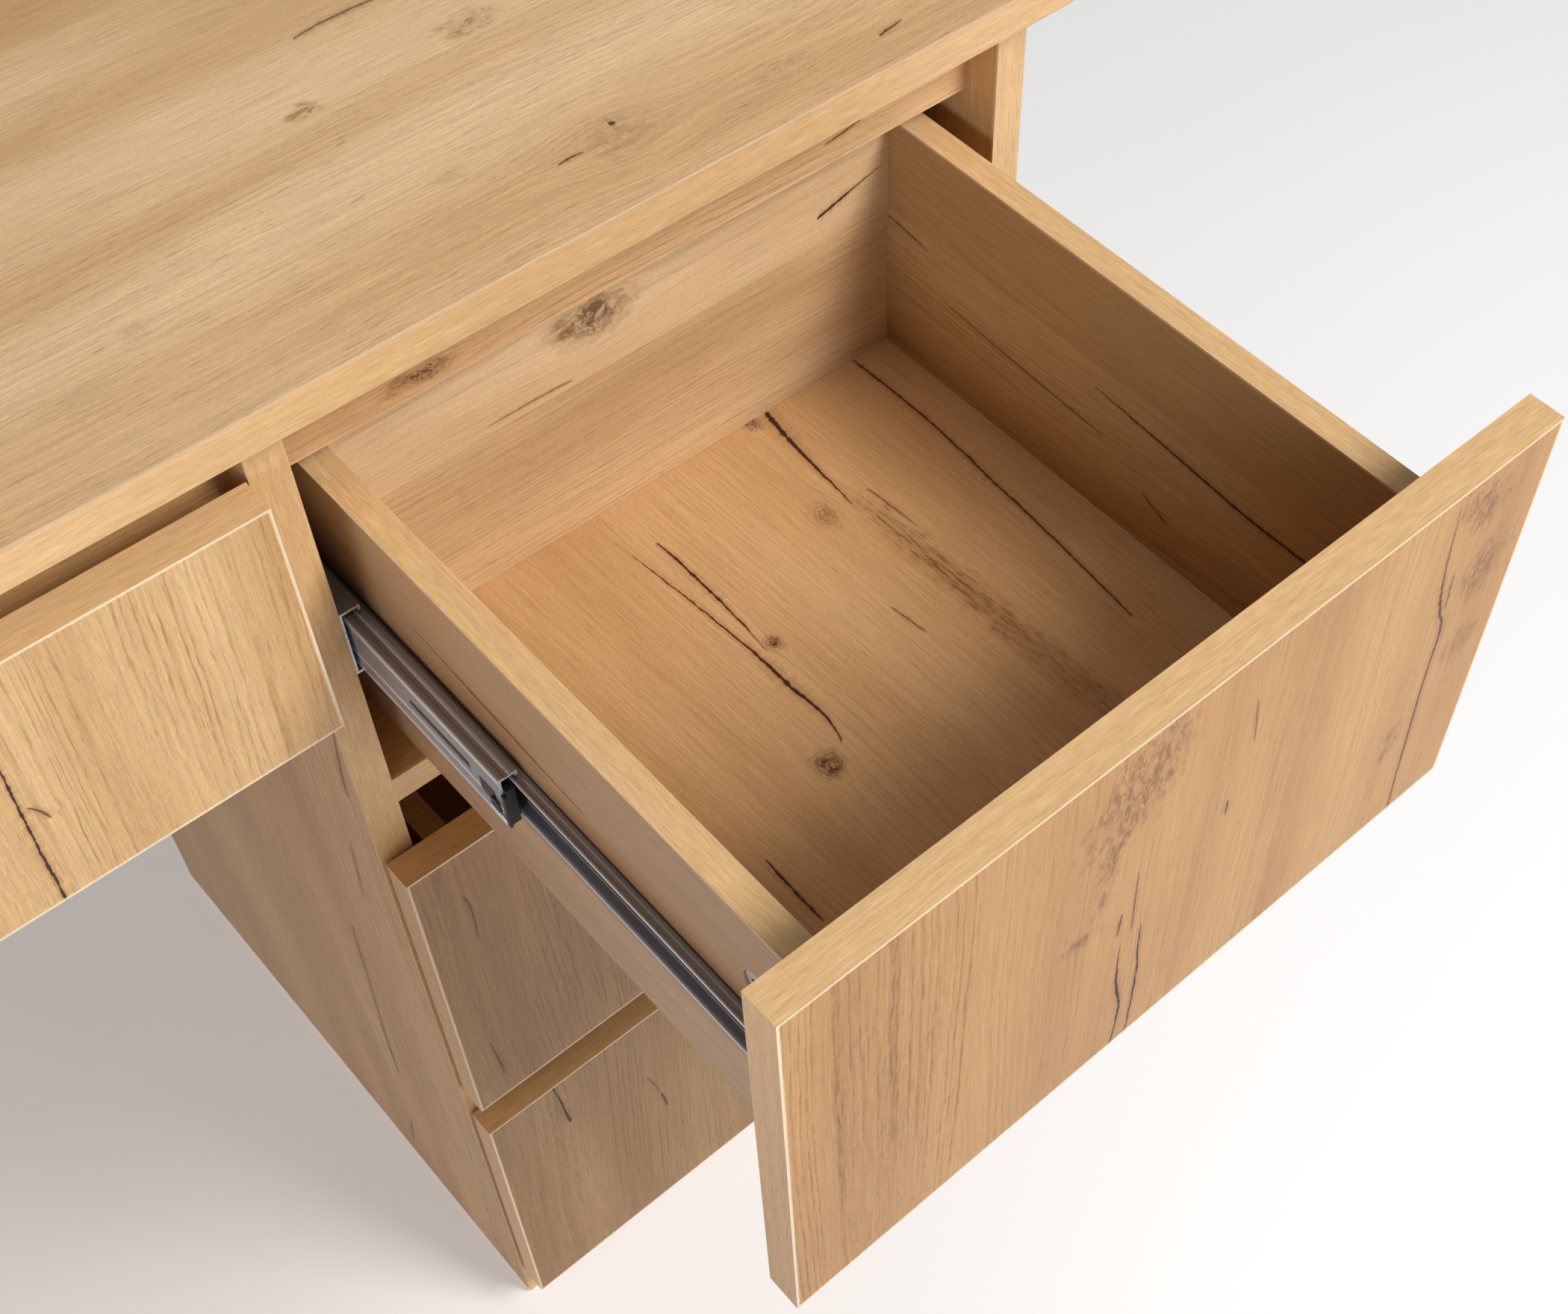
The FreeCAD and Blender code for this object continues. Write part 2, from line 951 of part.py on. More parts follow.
def write_frame(joints, slides):
    """Write the boards and fittings that stand still."""
    still = FreeCAD.Vector(0, 0, 0)
    for name, shape in frame_boards().items():
        write_part(name, [cut(shape, frame_tools(name, joints, slides))], still)
    groups = {
        "frame_cam_locks": [solid for joint in joints for solid in joint.cam_locks(0)],
        "frame_dowels": [solid for joint in joints for solid in joint.dowel_pins(0)],
        "foot_glides": foot_glides(),
        "joining_plates": joining_plates(),
        "outer_slide_members": [slide.outer() for slide in slides],
        "outer_slide_screws": [screw for slide in slides for screw in slide.wall_screws(0)],
        "joining_plate_screws": [
            headed_screw(place - Z * plate_thickness, Z, plate_screw_head, plate_screw_length, 0)
            for place in plate_screw_places()
        ],
    }
    for name, solids in groups.items():
        write_part(name, solids, still)


def write_drawer(drawer):
    """Write a drawer's parts; its middle members move half as far as the drawer."""
    moved = -Y * drawer.opened
    parts = {
        "front": [drawer.front()],
        "left_side": [drawer.left_side()],
        "right_side": [drawer.right_side()],
        "back": [drawer.back()],
        "bottom": [drawer.bottom()],
        "fixings": drawer.fixings(),
        "inner_members": [slide.inner() for slide in drawer.slides],
    }
    for name, solids in parts.items():
        write_part(drawer.name + "_" + name, solids, moved)
    half_moved = moved * 0.5
    write_part(
        drawer.name + "_middle_members", [slide.middle() for slide in drawer.slides], half_moved
    )
    write_part(
        drawer.name + "_slide_latches", [slide.latch() for slide in drawer.slides], half_moved
    )


os.makedirs("parts", exist_ok=True)
drawers = all_drawers()
every_slide = [slide for drawer in drawers for slide in drawer.slides]
write_frame(frame_joints(), every_slide)
for drawer in drawers:
    write_drawer(drawer)
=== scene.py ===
import math
import random

import bmesh
import bpy
from mathutils import Matrix, Vector


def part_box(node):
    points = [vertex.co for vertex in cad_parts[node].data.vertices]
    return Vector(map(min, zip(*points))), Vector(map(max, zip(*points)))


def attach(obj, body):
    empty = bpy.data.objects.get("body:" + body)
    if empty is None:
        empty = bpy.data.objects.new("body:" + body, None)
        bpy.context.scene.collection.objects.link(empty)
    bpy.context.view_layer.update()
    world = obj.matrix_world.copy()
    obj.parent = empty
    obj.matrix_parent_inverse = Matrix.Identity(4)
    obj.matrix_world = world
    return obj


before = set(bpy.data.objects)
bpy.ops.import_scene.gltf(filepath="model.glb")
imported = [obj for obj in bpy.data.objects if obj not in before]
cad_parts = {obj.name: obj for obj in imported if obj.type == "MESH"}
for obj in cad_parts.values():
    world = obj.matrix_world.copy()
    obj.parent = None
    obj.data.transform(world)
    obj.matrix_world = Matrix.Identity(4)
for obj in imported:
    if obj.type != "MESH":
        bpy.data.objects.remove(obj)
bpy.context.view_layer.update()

# An L-shaped desk in printed oak laminate with straw-coloured edge bands, seen from above its
# open top drawer. Patterns are drawn in millimetres on each board, from the board's low corner.

MM = 0.001
DRAWERS = ("top_drawer", "middle_drawer", "bottom_drawer", "knee_drawer")
BOARD_ROUND = 0.5 * MM
STEEL_ROUND = 0.3 * MM
PRINT_RELIEF = 0.00012
PRINT_SHEEN = 0.32
STEEL_RELIEF = 0.00003
SHARP_EDGE = math.radians(50)

FLOOR_REACH = 20.0
FLOOR_DARK = (0.74, 0.74, 0.74, 1.0)
FLOOR_PALE = (0.77, 0.77, 0.77, 1.0)
FLOOR_GLOW = 0.3
SKY_STRENGTH = 0.16
LIGHT_DISTANCE = 3.0
SIDE_TINT = (0.92, 0.97, 1.12)

# ---------------------------------------------------------------- colours (linear light)


def srgb(red, green, blue):
    """A colour given as 0-255 display values."""

    def linear(value):
        value /= 255
        return value / 12.92 if value <= 0.04045 else ((value + 0.055) / 1.055) ** 2.4

    return (linear(red), linear(green), linear(blue), 1.0)


OAK_PALE = srgb(216, 173, 117)
OAK_MID = srgb(203, 157, 101)
OAK_DEEP = srgb(189, 142, 87)
OAK_RING = srgb(150, 100, 56)
OAK_PORE = srgb(112, 67, 28)
OAK_KNOT = srgb(98, 66, 46)
OAK_CURL = srgb(122, 68, 20)
OAK_CRACK = srgb(56, 30, 15)
OAK_HALO = srgb(152, 100, 52)
BAND_DARK = srgb(205, 162, 108)
BAND_PALE = srgb(231, 193, 142)
# Near-white of the pale line along banded edges: a painted highlight.
ARRIS_HIGHLIGHT = srgb(250, 236, 204)

# ---------------------------------------------------------------- node building


class Graph:
    """Adds shader nodes to a tree. A value may be a number, a colour or another node's output."""

    def __init__(self, tree):
        self.tree = tree

    def add(self, kind, **settings):
        node = self.tree.nodes.new(kind)
        for name, value in settings.items():
            setattr(node, name, value)
        return node

    def feed(self, socket, value):
        if isinstance(value, bpy.types.NodeSocket):
            self.tree.links.new(value, socket)
        else:
            socket.default_value = value

    def math(self, operation, *values, clamp=False):
        node = self.add("ShaderNodeMath", operation=operation, use_clamp=clamp)
        for socket, value in zip(node.inputs, values):
            self.feed(socket, value)
        return node.outputs[0]

    def point(self, x, y, z):
        node = self.add("ShaderNodeCombineXYZ")
        for socket, value in zip(node.inputs, (x, y, z)):
            self.feed(socket, value)
        return node.outputs[0]

    def parts(self, vector):
        node = self.add("ShaderNodeSeparateXYZ")
        self.feed(node.inputs[0], vector)
        return list(node.outputs)

    def step(self, value, low, high):
        """Rises smoothly from 0 at low to 1 at high; low may be the larger."""
        node = self.add("ShaderNodeMapRange", interpolation_type="SMOOTHSTEP")
        for name, number in (("Value", value), ("From Min", low), ("From Max", high)):
            self.feed(node.inputs[name], number)
        return node.outputs[0]

    def span(self, value, low, high, new_low, new_high):
        """Straight-line map from low..high to new_low..new_high, clamped."""
        node = self.add("ShaderNodeMapRange")
        settings = (
            ("Value", value),
            ("From Min", low),
            ("From Max", high),
            ("To Min", new_low),
            ("To Max", new_high),
        )
        for name, number in settings:
            self.feed(node.inputs[name], number)
        return node.outputs[0]

    def noise(self, vector, detail=2.0, roughness=0.5, distortion=0.0):
        node = self.add("ShaderNodeTexNoise")
        self.feed(node.inputs["Vector"], vector)
        node.inputs["Scale"].default_value = 1.0
        node.inputs["Detail"].default_value = detail
        node.inputs["Roughness"].default_value = roughness
        node.inputs["Distortion"].default_value = distortion
        return node.outputs["Fac"]

    def mix(self, factor, first, second, blend="MIX"):
        node = self.add("ShaderNodeMix", data_type="RGBA", blend_type=blend)
        self.feed(node.inputs[0], factor)
        self.feed(node.inputs[6], first)
        self.feed(node.inputs[7], second)
        return node.outputs[2]

    def blend(self, factor, first, second):
        node = self.add("ShaderNodeMix", data_type="FLOAT")
        self.feed(node.inputs[0], factor)
        self.feed(node.inputs[2], first)
        self.feed(node.inputs[3], second)
        return node.outputs[0]

    def ramp(self, value, *stops):
        """Colours by position along a ramp."""
        node = self.add("ShaderNodeValToRGB")
        elements = node.color_ramp.elements
        while len(elements) < len(stops):
            elements.new(0.5)
        for element, (place, colour) in zip(elements, stops):
            element.position = place
            element.color = colour
        self.feed(node.inputs[0], value)
        return node.outputs[0]

    def curve(self, value, points):
        """A smooth curve through points, all within 0 to 1."""
        node = self.add("ShaderNodeFloatCurve")
        line = node.mapping.curves[0]
        while len(line.points) < len(points):
            line.points.new(0.5, 0.5)
        for knot, place in zip(line.points, points):
            knot.location = place
        node.mapping.update()
        self.feed(node.inputs["Value"], value)
        return node.outputs[0]

    def bump(self, height, distance, strength=1.0):
        node = self.add("ShaderNodeBump")
        node.inputs["Strength"].default_value = strength
        node.inputs["Distance"].default_value = distance
        self.feed(node.inputs["Height"], height)
        return node.outputs[0]


def new_material(name):
    """An empty material with its graph and its Principled shader."""
    material = bpy.data.materials.new(name)
    material.use_nodes = True
    shader = material.node_tree.nodes["Principled BSDF"]
    return material, Graph(material.node_tree), shader


# ---------------------------------------------------------------- printed oak


def oak_pattern():
    """Node group: printed oak, from millimetres across and along a face and a key per face."""
    tree = bpy.data.node_groups.new("oak_pattern", "ShaderNodeTree")
    for name in ("Across", "Along", "Key", "Seam", "Plank", "Pith", "Pitch", "Rows"):
        tree.interface.new_socket(name, in_out="INPUT", socket_type="NodeSocketFloat")
    tree.interface.new_socket("Color", in_out="OUTPUT", socket_type="NodeSocketColor")
    tree.interface.new_socket("Height", in_out="OUTPUT", socket_type="NodeSocketFloat")
    g = Graph(tree)
    across, along, key, seam, plank, pith, pitch, rows = g.add("NodeGroupInput").outputs[:8]

    # The print is made of planks side by side, each with its own figure.
    place = g.math("DIVIDE", g.math("SUBTRACT", across, seam), plank)
    number = g.math("FLOOR", place)
    within = g.math("SUBTRACT", g.math("SUBTRACT", place, number), 0.5)
    dice = g.add("ShaderNodeTexWhiteNoise", noise_dimensions="2D")
    g.feed(dice.inputs["Vector"], g.point(number, key, 0.0))
    shade, shift, spread = g.parts(dice.outputs["Color"])
    start = g.math("MULTIPLY_ADD", shift, 5000.0, along)
    depth_key = g.math("MULTIPLY_ADD", number, 7.3, key)

    def stretched(source, fine, run, detail=2.0, roughness=0.5):
        """Noise with so many swings per millimetre across and along the grain."""
        where = g.point(g.math("MULTIPLY", source, fine), depth_key, g.math("MULTIPLY", start, run))
        return g.noise(where, detail, roughness)

    # The grain wanders slowly, and trembles on a small scale.
    wander = g.math("MULTIPLY", g.math("SUBTRACT", stretched(across, 0.006, 0.0026, 1.0), 0.5), 30.0)
    tremble = g.math("MULTIPLY", g.math("SUBTRACT", stretched(across, 0.08, 0.012), 0.5), 3.2)
    ripple = g.math("MULTIPLY", g.math("SUBTRACT", stretched(across, 0.12, 0.07, 1.0), 0.5), 1.3)
    tremble = g.math("ADD", tremble, ripple)
    drift = g.math("ADD", wander, tremble)
    sway = g.math("MULTIPLY_ADD", wander, 0.35, g.math("MULTIPLY", tremble, 0.6))
    thread = g.math("ADD", across, sway)

    # Growth rings: distances from a pith line below the surface, so they close into arches.
    # Every second plank is cut well away from the pith and runs straight.
    odd = g.math("PINGPONG", number, 1.0)
    straight = g.math("MULTIPLY", odd, 150.0)
    off_pith = g.math("ADD", within, g.math("MULTIPLY", g.math("SUBTRACT", spread, 0.5), 0.9))
    x = g.math("ADD", g.math("MULTIPLY", off_pith, plank), g.math("ADD", drift, pith))
    x = g.math("ADD", x, straight)
    sink = g.noise(g.point(depth_key, 0.0, g.math("MULTIPLY", start, 0.0035)), 1.0)
    sink = g.span(sink, 0.25, 0.75, 6.0, 85.0)
    radius = g.math("SQRT", g.math("ADD", g.math("MULTIPLY", x, x), g.math("MULTIPLY", sink, sink)))
    near_pith = g.step(g.math("ABSOLUTE", x), 110.0, 40.0)
    spacing = g.math("MULTIPLY", pitch, g.math("MULTIPLY_ADD", near_pith, 0.9, 1.0))
    turns = g.math("DIVIDE", radius, spacing)
    uneven = g.noise(g.point(g.math("MULTIPLY", radius, 0.05), depth_key, 0.0), 2.0)
    turns = g.math("MULTIPLY_ADD", g.math("SUBTRACT", uneven, 0.5), 9.0, turns)
    saw = g.math("FRACT", turns)
    row = g.math("MULTIPLY", g.step(saw, 0.0, 0.1), g.step(saw, 0.42, 0.12))
    soft_row = g.math("POWER", g.math("SUBTRACT", 1.0, saw), 2.0)
    patchy = g.span(stretched(across, 0.03, 0.006), 0.35, 0.65, 0.2, 1.0)
    row = g.math("MULTIPLY", row, g.math("MULTIPLY_ADD", odd, 0.6, 0.4))

    # Pores lie in rows along the rings; threads and broad bands lie everywhere.
    dashes = g.step(stretched(thread, 0.9, 0.085, 3.0, 0.6), 0.44, 0.62)
    pores = g.math("MULTIPLY", g.math("MULTIPLY", row, patchy), g.math("MULTIPLY_ADD", dashes, 0.8, 0.2))
    strays = g.math("MULTIPLY", g.step(stretched(thread, 1.9, 0.1, 1.0), 0.66, 0.74), 0.6)
    pores = g.math("MAXIMUM", g.math("MULTIPLY", pores, rows), strays)
    band = stretched(thread, 0.02, 0.0022)
    band = g.math("MULTIPLY_ADD", g.math("SUBTRACT", shade, 0.5), 0.12, band)
    threads = stretched(thread, 1.1, 0.03, 3.0, 0.65)
    mottle = stretched(across, 1.3, 0.5, 3.0, 0.6)

    colour = g.ramp(band, (0.3, OAK_DEEP), (0.5, OAK_MID), (0.7, OAK_PALE))
    soft_row = g.math("MULTIPLY", g.math("MULTIPLY", soft_row, patchy), 0.2)
    colour = g.mix(g.math("MULTIPLY", soft_row, rows), colour, OAK_RING)
    shading = g.math(
        "MULTIPLY", g.span(threads, 0.3, 0.7, 0.84, 1.12), g.span(mottle, 0.3, 0.7, 0.93, 1.06)
    )
    colour = g.mix(1.0, colour, g.point(shading, shading, shading), "MULTIPLY")
    colour = g.mix(g.math("MULTIPLY", pores, 0.56), colour, OAK_PORE)
    height = g.math("SUBTRACT", g.math("MULTIPLY", threads, 0.5), pores)
    out = g.add("NodeGroupOutput")
    g.feed(out.inputs["Color"], colour)
    g.feed(out.inputs["Height"], height)
    return tree


OAK = oak_pattern()


class Board:
    """Makes the material of one board: printed faces, edge bands and the marks of its print."""

    def __init__(self, node, grain, thickness, banded, line, seed, print_plan, marks):
        # The board's tint: painted light and painted shade as well as print tone.
        self.tone = TONE_AND_PAINTED_LIGHT.get(node, PLAIN_TONE)
        self.low, self.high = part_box(node)
        self.material, self.g, self.shader = new_material("oak_" + node)
        self.grain = "XYZ".index(grain)
        self.thick = "XYZ".index(thickness)
        self.cross = 3 - self.grain - self.thick
        self.banded = banded
        self.line = line
        self.seed = seed
        self.print_plan = print_plan
        self.marks = marks
        self.build()

    def build(self):
        g = self.g
        spot = g.add("ShaderNodeTexCoord")
        moved = g.add("ShaderNodeVectorMath", operation="SUBTRACT")
        g.feed(moved.inputs[0], spot.outputs["Object"])
        moved.inputs[1].default_value = self.low
        scaled = g.add("ShaderNodeVectorMath", operation="SCALE")
        g.feed(scaled.inputs[0], moved.outputs[0])
        scaled.inputs["Scale"].default_value = 1 / MM
        self.place = g.parts(scaled.outputs[0])
        normal = g.parts(spot.outputs["Normal"])
        size = (self.high - self.low) / MM
        across = self.place[self.cross]
        along = self.place[self.grain]
        through = self.place[self.thick]
        self.side = g.math("GREATER_THAN", through, size[self.thick] / 2)
        key = g.math("MULTIPLY_ADD", self.side, 37.0, self.seed)

        colour, height = self.face(across, along, key)
        # Multiply in the board's tint, which holds painted light and painted shade as well as print
        # tone.
        colour = g.mix(1.0, colour, self.tone, "MULTIPLY")
        if self.banded:
            colour = self.arris(colour, size)
        edge_colour, edge_height = self.edge(through, across, along, normal)
        on_face = g.step(g.math("ABSOLUTE", normal[self.thick]), 0.6, 0.85)
        colour = g.mix(on_face, edge_colour, colour)
        height = g.blend(on_face, edge_height, height)
        g.feed(self.shader.inputs["Base Color"], colour)
        g.feed(self.shader.inputs["Roughness"], g.span(height, -1.0, 0.5, 0.56, 0.4))
        g.feed(self.shader.inputs["Normal"], g.bump(height, PRINT_RELIEF, 0.55))
        self.shader.inputs["Specular IOR Level"].default_value = PRINT_SHEEN

    def face(self, across, along, key):
        """Colour and height of the printed faces."""
        g = self.g
        jitter = g.noise(
            g.point(g.math("MULTIPLY", across, 0.2), key, g.math("MULTIPLY", along, 0.12)), 3.0, 0.6
        )
        jitter = g.math("SUBTRACT", jitter, 0.5)
        bent = across
        for mark in self.marks:
            bent = mark.bend(g, bent, across, along, self.side)
        oak = g.add("ShaderNodeGroup", node_tree=OAK)
        for name, value in (("Across", bent), ("Along", along), ("Key", key)):
            g.feed(oak.inputs[name], value)
        for name, value in zip(("Seam", "Plank", "Pith", "Pitch", "Rows"), self.print_plan):
            oak.inputs[name].default_value = value
        colour = oak.outputs["Color"]
        height = oak.outputs["Height"]
        for mark in self.marks:
            colour, height = mark.paint(g, colour, height, across, along, jitter, self.side)
        return colour, height

    def edge(self, through, across, along, normal):
        """Colour and height of the edge bands, whose fine grain runs along the edge."""
        g = self.g
        end_grain = g.math("GREATER_THAN", g.math("ABSOLUTE", normal[self.grain]), 0.5)
        run = g.blend(end_grain, along, across)
        lines = g.noise(
            g.point(
                g.math("MULTIPLY", through, 1.1),
                g.math("MULTIPLY_ADD", end_grain, 31.0, self.seed),
                g.math("MULTIPLY", run, 0.09),
            ),
            4.0,
            0.65,
        )
        tone = g.noise(
            g.point(g.math("MULTIPLY", through, 0.3), self.seed, g.math("MULTIPLY", run, 0.012)), 1.0
        )
        colour = g.ramp(lines, (0.3, BAND_DARK), (0.7, BAND_PALE))
        shading = g.span(tone, 0.3, 0.7, 0.94, 1.05)
        colour = g.mix(1.0, colour, g.point(shading, shading, shading), "MULTIPLY")
        return colour, g.math("MULTIPLY", lines, 0.8)

    def arris(self, colour, size):
        """A thin pale line where the edge band's thickness shows beside the face, painted near-white as
        a painted highlight.
        """
        g = self.g
        nearest = None
        for edge in self.banded.split():
            axis = "XYZ".index(edge[0])
            distance = self.place[axis]
            if edge[1] == "+":
                distance = g.math("SUBTRACT", size[axis], distance)
            nearest = distance if nearest is None else g.math("MINIMUM", nearest, distance)
        # Noise that makes the painted highlight line uneven in width.
        line_wobble = g.noise(g.point(*(g.math("MULTIPLY", c, 0.7) for c in self.place)), 2.0)
        reach = g.math("MULTIPLY_ADD", g.math("SUBTRACT", line_wobble, 0.5), 0.8, nearest)
        line = g.math("MULTIPLY", g.step(reach, 1.6, 0.7), self.line)
        # Painted highlight along the band's rounded arris.
        return g.mix(line, colour, ARRIS_HIGHLIGHT)


# ---------------------------------------------------------------- marks in the print


class Mark:
    """Something the print shows; most marks leave the grain round them as it is."""

    def bend(self, g, bent, across, along, side):
        return bent


class Crack(Mark):
    """A dark crack along the grain: (along, across, half width) at points from one end."""

    def __init__(self, side, *points, depth=1.0):
        self.side = side
        self.points = sorted(points)
        self.depth = depth

    def paint(self, g, colour, height, across, along, jitter, side):
        first, last = self.points[0][0], self.points[-1][0]
        middles = [p[1] for p in self.points]
        low, high = min(middles) - 1.0, max(middles) + 1.0
        widest = max(p[2] for p in self.points)
        share = [(p[0] - first) / (last - first) for p in self.points]
        s = g.span(along, first, last, 0.0, 1.0)
        centre = g.curve(s, [(t, (m - low) / (high - low)) for t, m in zip(share, middles)])
        width = g.curve(s, [(t, p[2] / widest) for t, p in zip(share, self.points)])
        centre = g.math("MULTIPLY_ADD", centre, high - low, low)
        centre = g.math("MULTIPLY_ADD", jitter, 2.2, centre)
        ragged = g.noise(g.point(g.math("MULTIPLY", along, 0.35), self.points[0][1], 0.0), 2.0)
        ragged = g.math("MULTIPLY", g.span(ragged, 0.3, 0.7, 0.4, 1.0), widest)
        width = g.math("MAXIMUM", g.math("MULTIPLY", width, ragged), 0.02)
        inside = g.math("MULTIPLY", g.step(s, 0.0, 0.01), g.step(s, 1.0, 0.99))
        inside = g.math("MULTIPLY", inside, g.math("COMPARE", side, float(self.side), 0.5))
        offset = g.math("SUBTRACT", across, centre)
        gap = g.math("DIVIDE", g.math("ABSOLUTE", offset), width)
        beside = g.math("ABSOLUTE", g.math("MULTIPLY_ADD", jitter, 5.0, offset))
        twin = g.math("DIVIDE", beside, width)
        halo = g.math("MULTIPLY", g.step(gap, 6.0, 0.6), g.math("MULTIPLY", inside, 0.4))
        core = g.math("MULTIPLY", g.step(gap, 1.3, 0.5), g.math("MULTIPLY", inside, self.depth))
        hair = g.math("MULTIPLY", g.step(twin, 0.8, 0.2), g.math("MULTIPLY", inside, 0.45))
        colour = g.mix(halo, colour, OAK_HALO)
        colour = g.mix(hair, colour, OAK_PORE)
        colour = g.mix(core, colour, OAK_CRACK)
        return colour, g.math("MULTIPLY_ADD", core, -1.5, height)


class Knot(Mark):
    """A knot: its middle and radii (along, across); the grain bends round it."""

    def __init__(self, side, middle, radii, depth=1.0, push=0.7):
        self.side = side
        self.middle = middle
        self.radii = radii
        self.depth = depth
        self.push = push

    def distance(self, g, across, along, grow, jitter=None):
        u = g.math("DIVIDE", g.math("SUBTRACT", along, self.middle[0]), self.radii[0] * grow)
        v = g.math("DIVIDE", g.math("SUBTRACT", across, self.middle[1]), self.radii[1] * grow)
        square = g.math("ADD", g.math("MULTIPLY", u, u), g.math("MULTIPLY", v, v))
        away = g.math("SQRT", square)
        return away if jitter is None else g.math("MULTIPLY_ADD", jitter, 1.5, away)

    def bend(self, g, bent, across, along, side):
        near = g.step(self.distance(g, across, along, 3.0), 1.0, 0.0)
        near = g.math("MULTIPLY", near, g.math("COMPARE", side, float(self.side), 0.5))
        offset = g.math("SUBTRACT", across, self.middle[1])
        pull = g.math("MULTIPLY", near, self.push)
        return g.math("SUBTRACT", bent, g.math("MULTIPLY", offset, pull))

    def paint(self, g, colour, height, across, along, jitter, side):
        away = self.distance(g, across, along, 1.0, jitter)
        here = g.math("MULTIPLY", g.math("COMPARE", side, float(self.side), 0.5), self.depth)
        rings = g.math("MULTIPLY_ADD", g.math("SINE", g.math("MULTIPLY", away, 17.0)), 0.5, 0.5)
        ringed = g.math("MULTIPLY", rings, g.math("MULTIPLY", g.step(away, 1.7, 0.7), here))
        scale = 2.4 / max(self.radii)
        spots = g.noise(
            g.point(g.math("MULTIPLY", across, scale), self.middle[0], g.math("MULTIPLY", along, scale)),
            4.0,
            0.7,
            1.2,
        )
        halo = g.math("MULTIPLY", g.step(away, 1.7, 0.3), g.math("MULTIPLY", here, 0.45))
        core = g.math("MULTIPLY", g.step(away, 1.15, 0.25), g.step(spots, 0.44, 0.56))
        core = g.math("MULTIPLY", core, g.math("MULTIPLY", here, 0.9))
        colour = g.mix(halo, colour, OAK_HALO)
        colour = g.mix(g.math("MULTIPLY", ringed, 0.4), colour, OAK_KNOT)
        colour = g.mix(core, colour, OAK_CRACK)
        return colour, g.math("MULTIPLY_ADD", core, -0.8, height)


class Streaks(Mark):
    """A patch of dark dashes along the grain: its middle and radii (along, across)."""

    def __init__(self, side, middle, radii, depth=1.0, tilt=0.0):
        self.side = side
        self.middle = middle
        self.radii = radii
        self.depth = depth
        self.tilt = tilt

    def patch(self, g, across, along, jitter, side):
        """1 well inside the patch, 0 outside it."""
        rise = g.math("SUBTRACT", along, self.middle[0])
        middle = g.math("MULTIPLY_ADD", rise, self.tilt, self.middle[1])
        u = g.math("DIVIDE", rise, self.radii[0])
        v = g.math("DIVIDE", g.math("SUBTRACT", across, middle), self.radii[1])
        away = g.math("SQRT", g.math("ADD", g.math("MULTIPLY", u, u), g.math("MULTIPLY", v, v)))
        away = g.math("MULTIPLY_ADD", jitter, 1.6, away)
        on_side = g.math("COMPARE", side, float(self.side), 0.5)
        return g.math("MULTIPLY", g.step(away, 1.1, 0.25), on_side)

    def paint(self, g, colour, height, across, along, jitter, side):
        here = self.patch(g, across, along, jitter, side)
        lean = g.math("MULTIPLY_ADD", along, -self.tilt, across)
        dashes = g.noise(
            g.point(g.math("MULTIPLY", lean, 0.85), self.middle[0], g.math("MULTIPLY", along, 0.07)),
            4.0,
            0.7,
        )
        tint = g.math("MULTIPLY", here, 0.35 * self.depth)
        dark = g.math("MULTIPLY", g.step(dashes, 0.47, 0.6), g.math("MULTIPLY", here, self.depth))
        colour = g.mix(tint, colour, OAK_HALO)
        colour = g.mix(g.math("MULTIPLY", dark, 0.85), colour, OAK_PORE)
        return colour, g.math("MULTIPLY_ADD", dark, -0.6, height)


class Curl(Streaks):
    """A patch of dark curly figure."""

    def paint(self, g, colour, height, across, along, jitter, side):
        here = self.patch(g, across, along, jitter, side)
        curls = g.noise(
            g.point(g.math("MULTIPLY", across, 0.34), self.middle[0], g.math("MULTIPLY", along, 0.12)),
            5.0,
            0.72,
            1.1,
        )
        dark = g.math("MULTIPLY", g.step(curls, 0.46, 0.58), g.math("MULTIPLY", here, self.depth))
        pale = g.math("MULTIPLY", g.step(curls, 0.45, 0.36), g.math("MULTIPLY", here, 0.3))
        colour = g.mix(g.math("MULTIPLY", here, 0.35 * self.depth), colour, OAK_HALO)
        colour = g.mix(g.math("MULTIPLY", dark, 0.8), colour, OAK_CURL)
        return g.mix(pale, colour, OAK_PALE), height


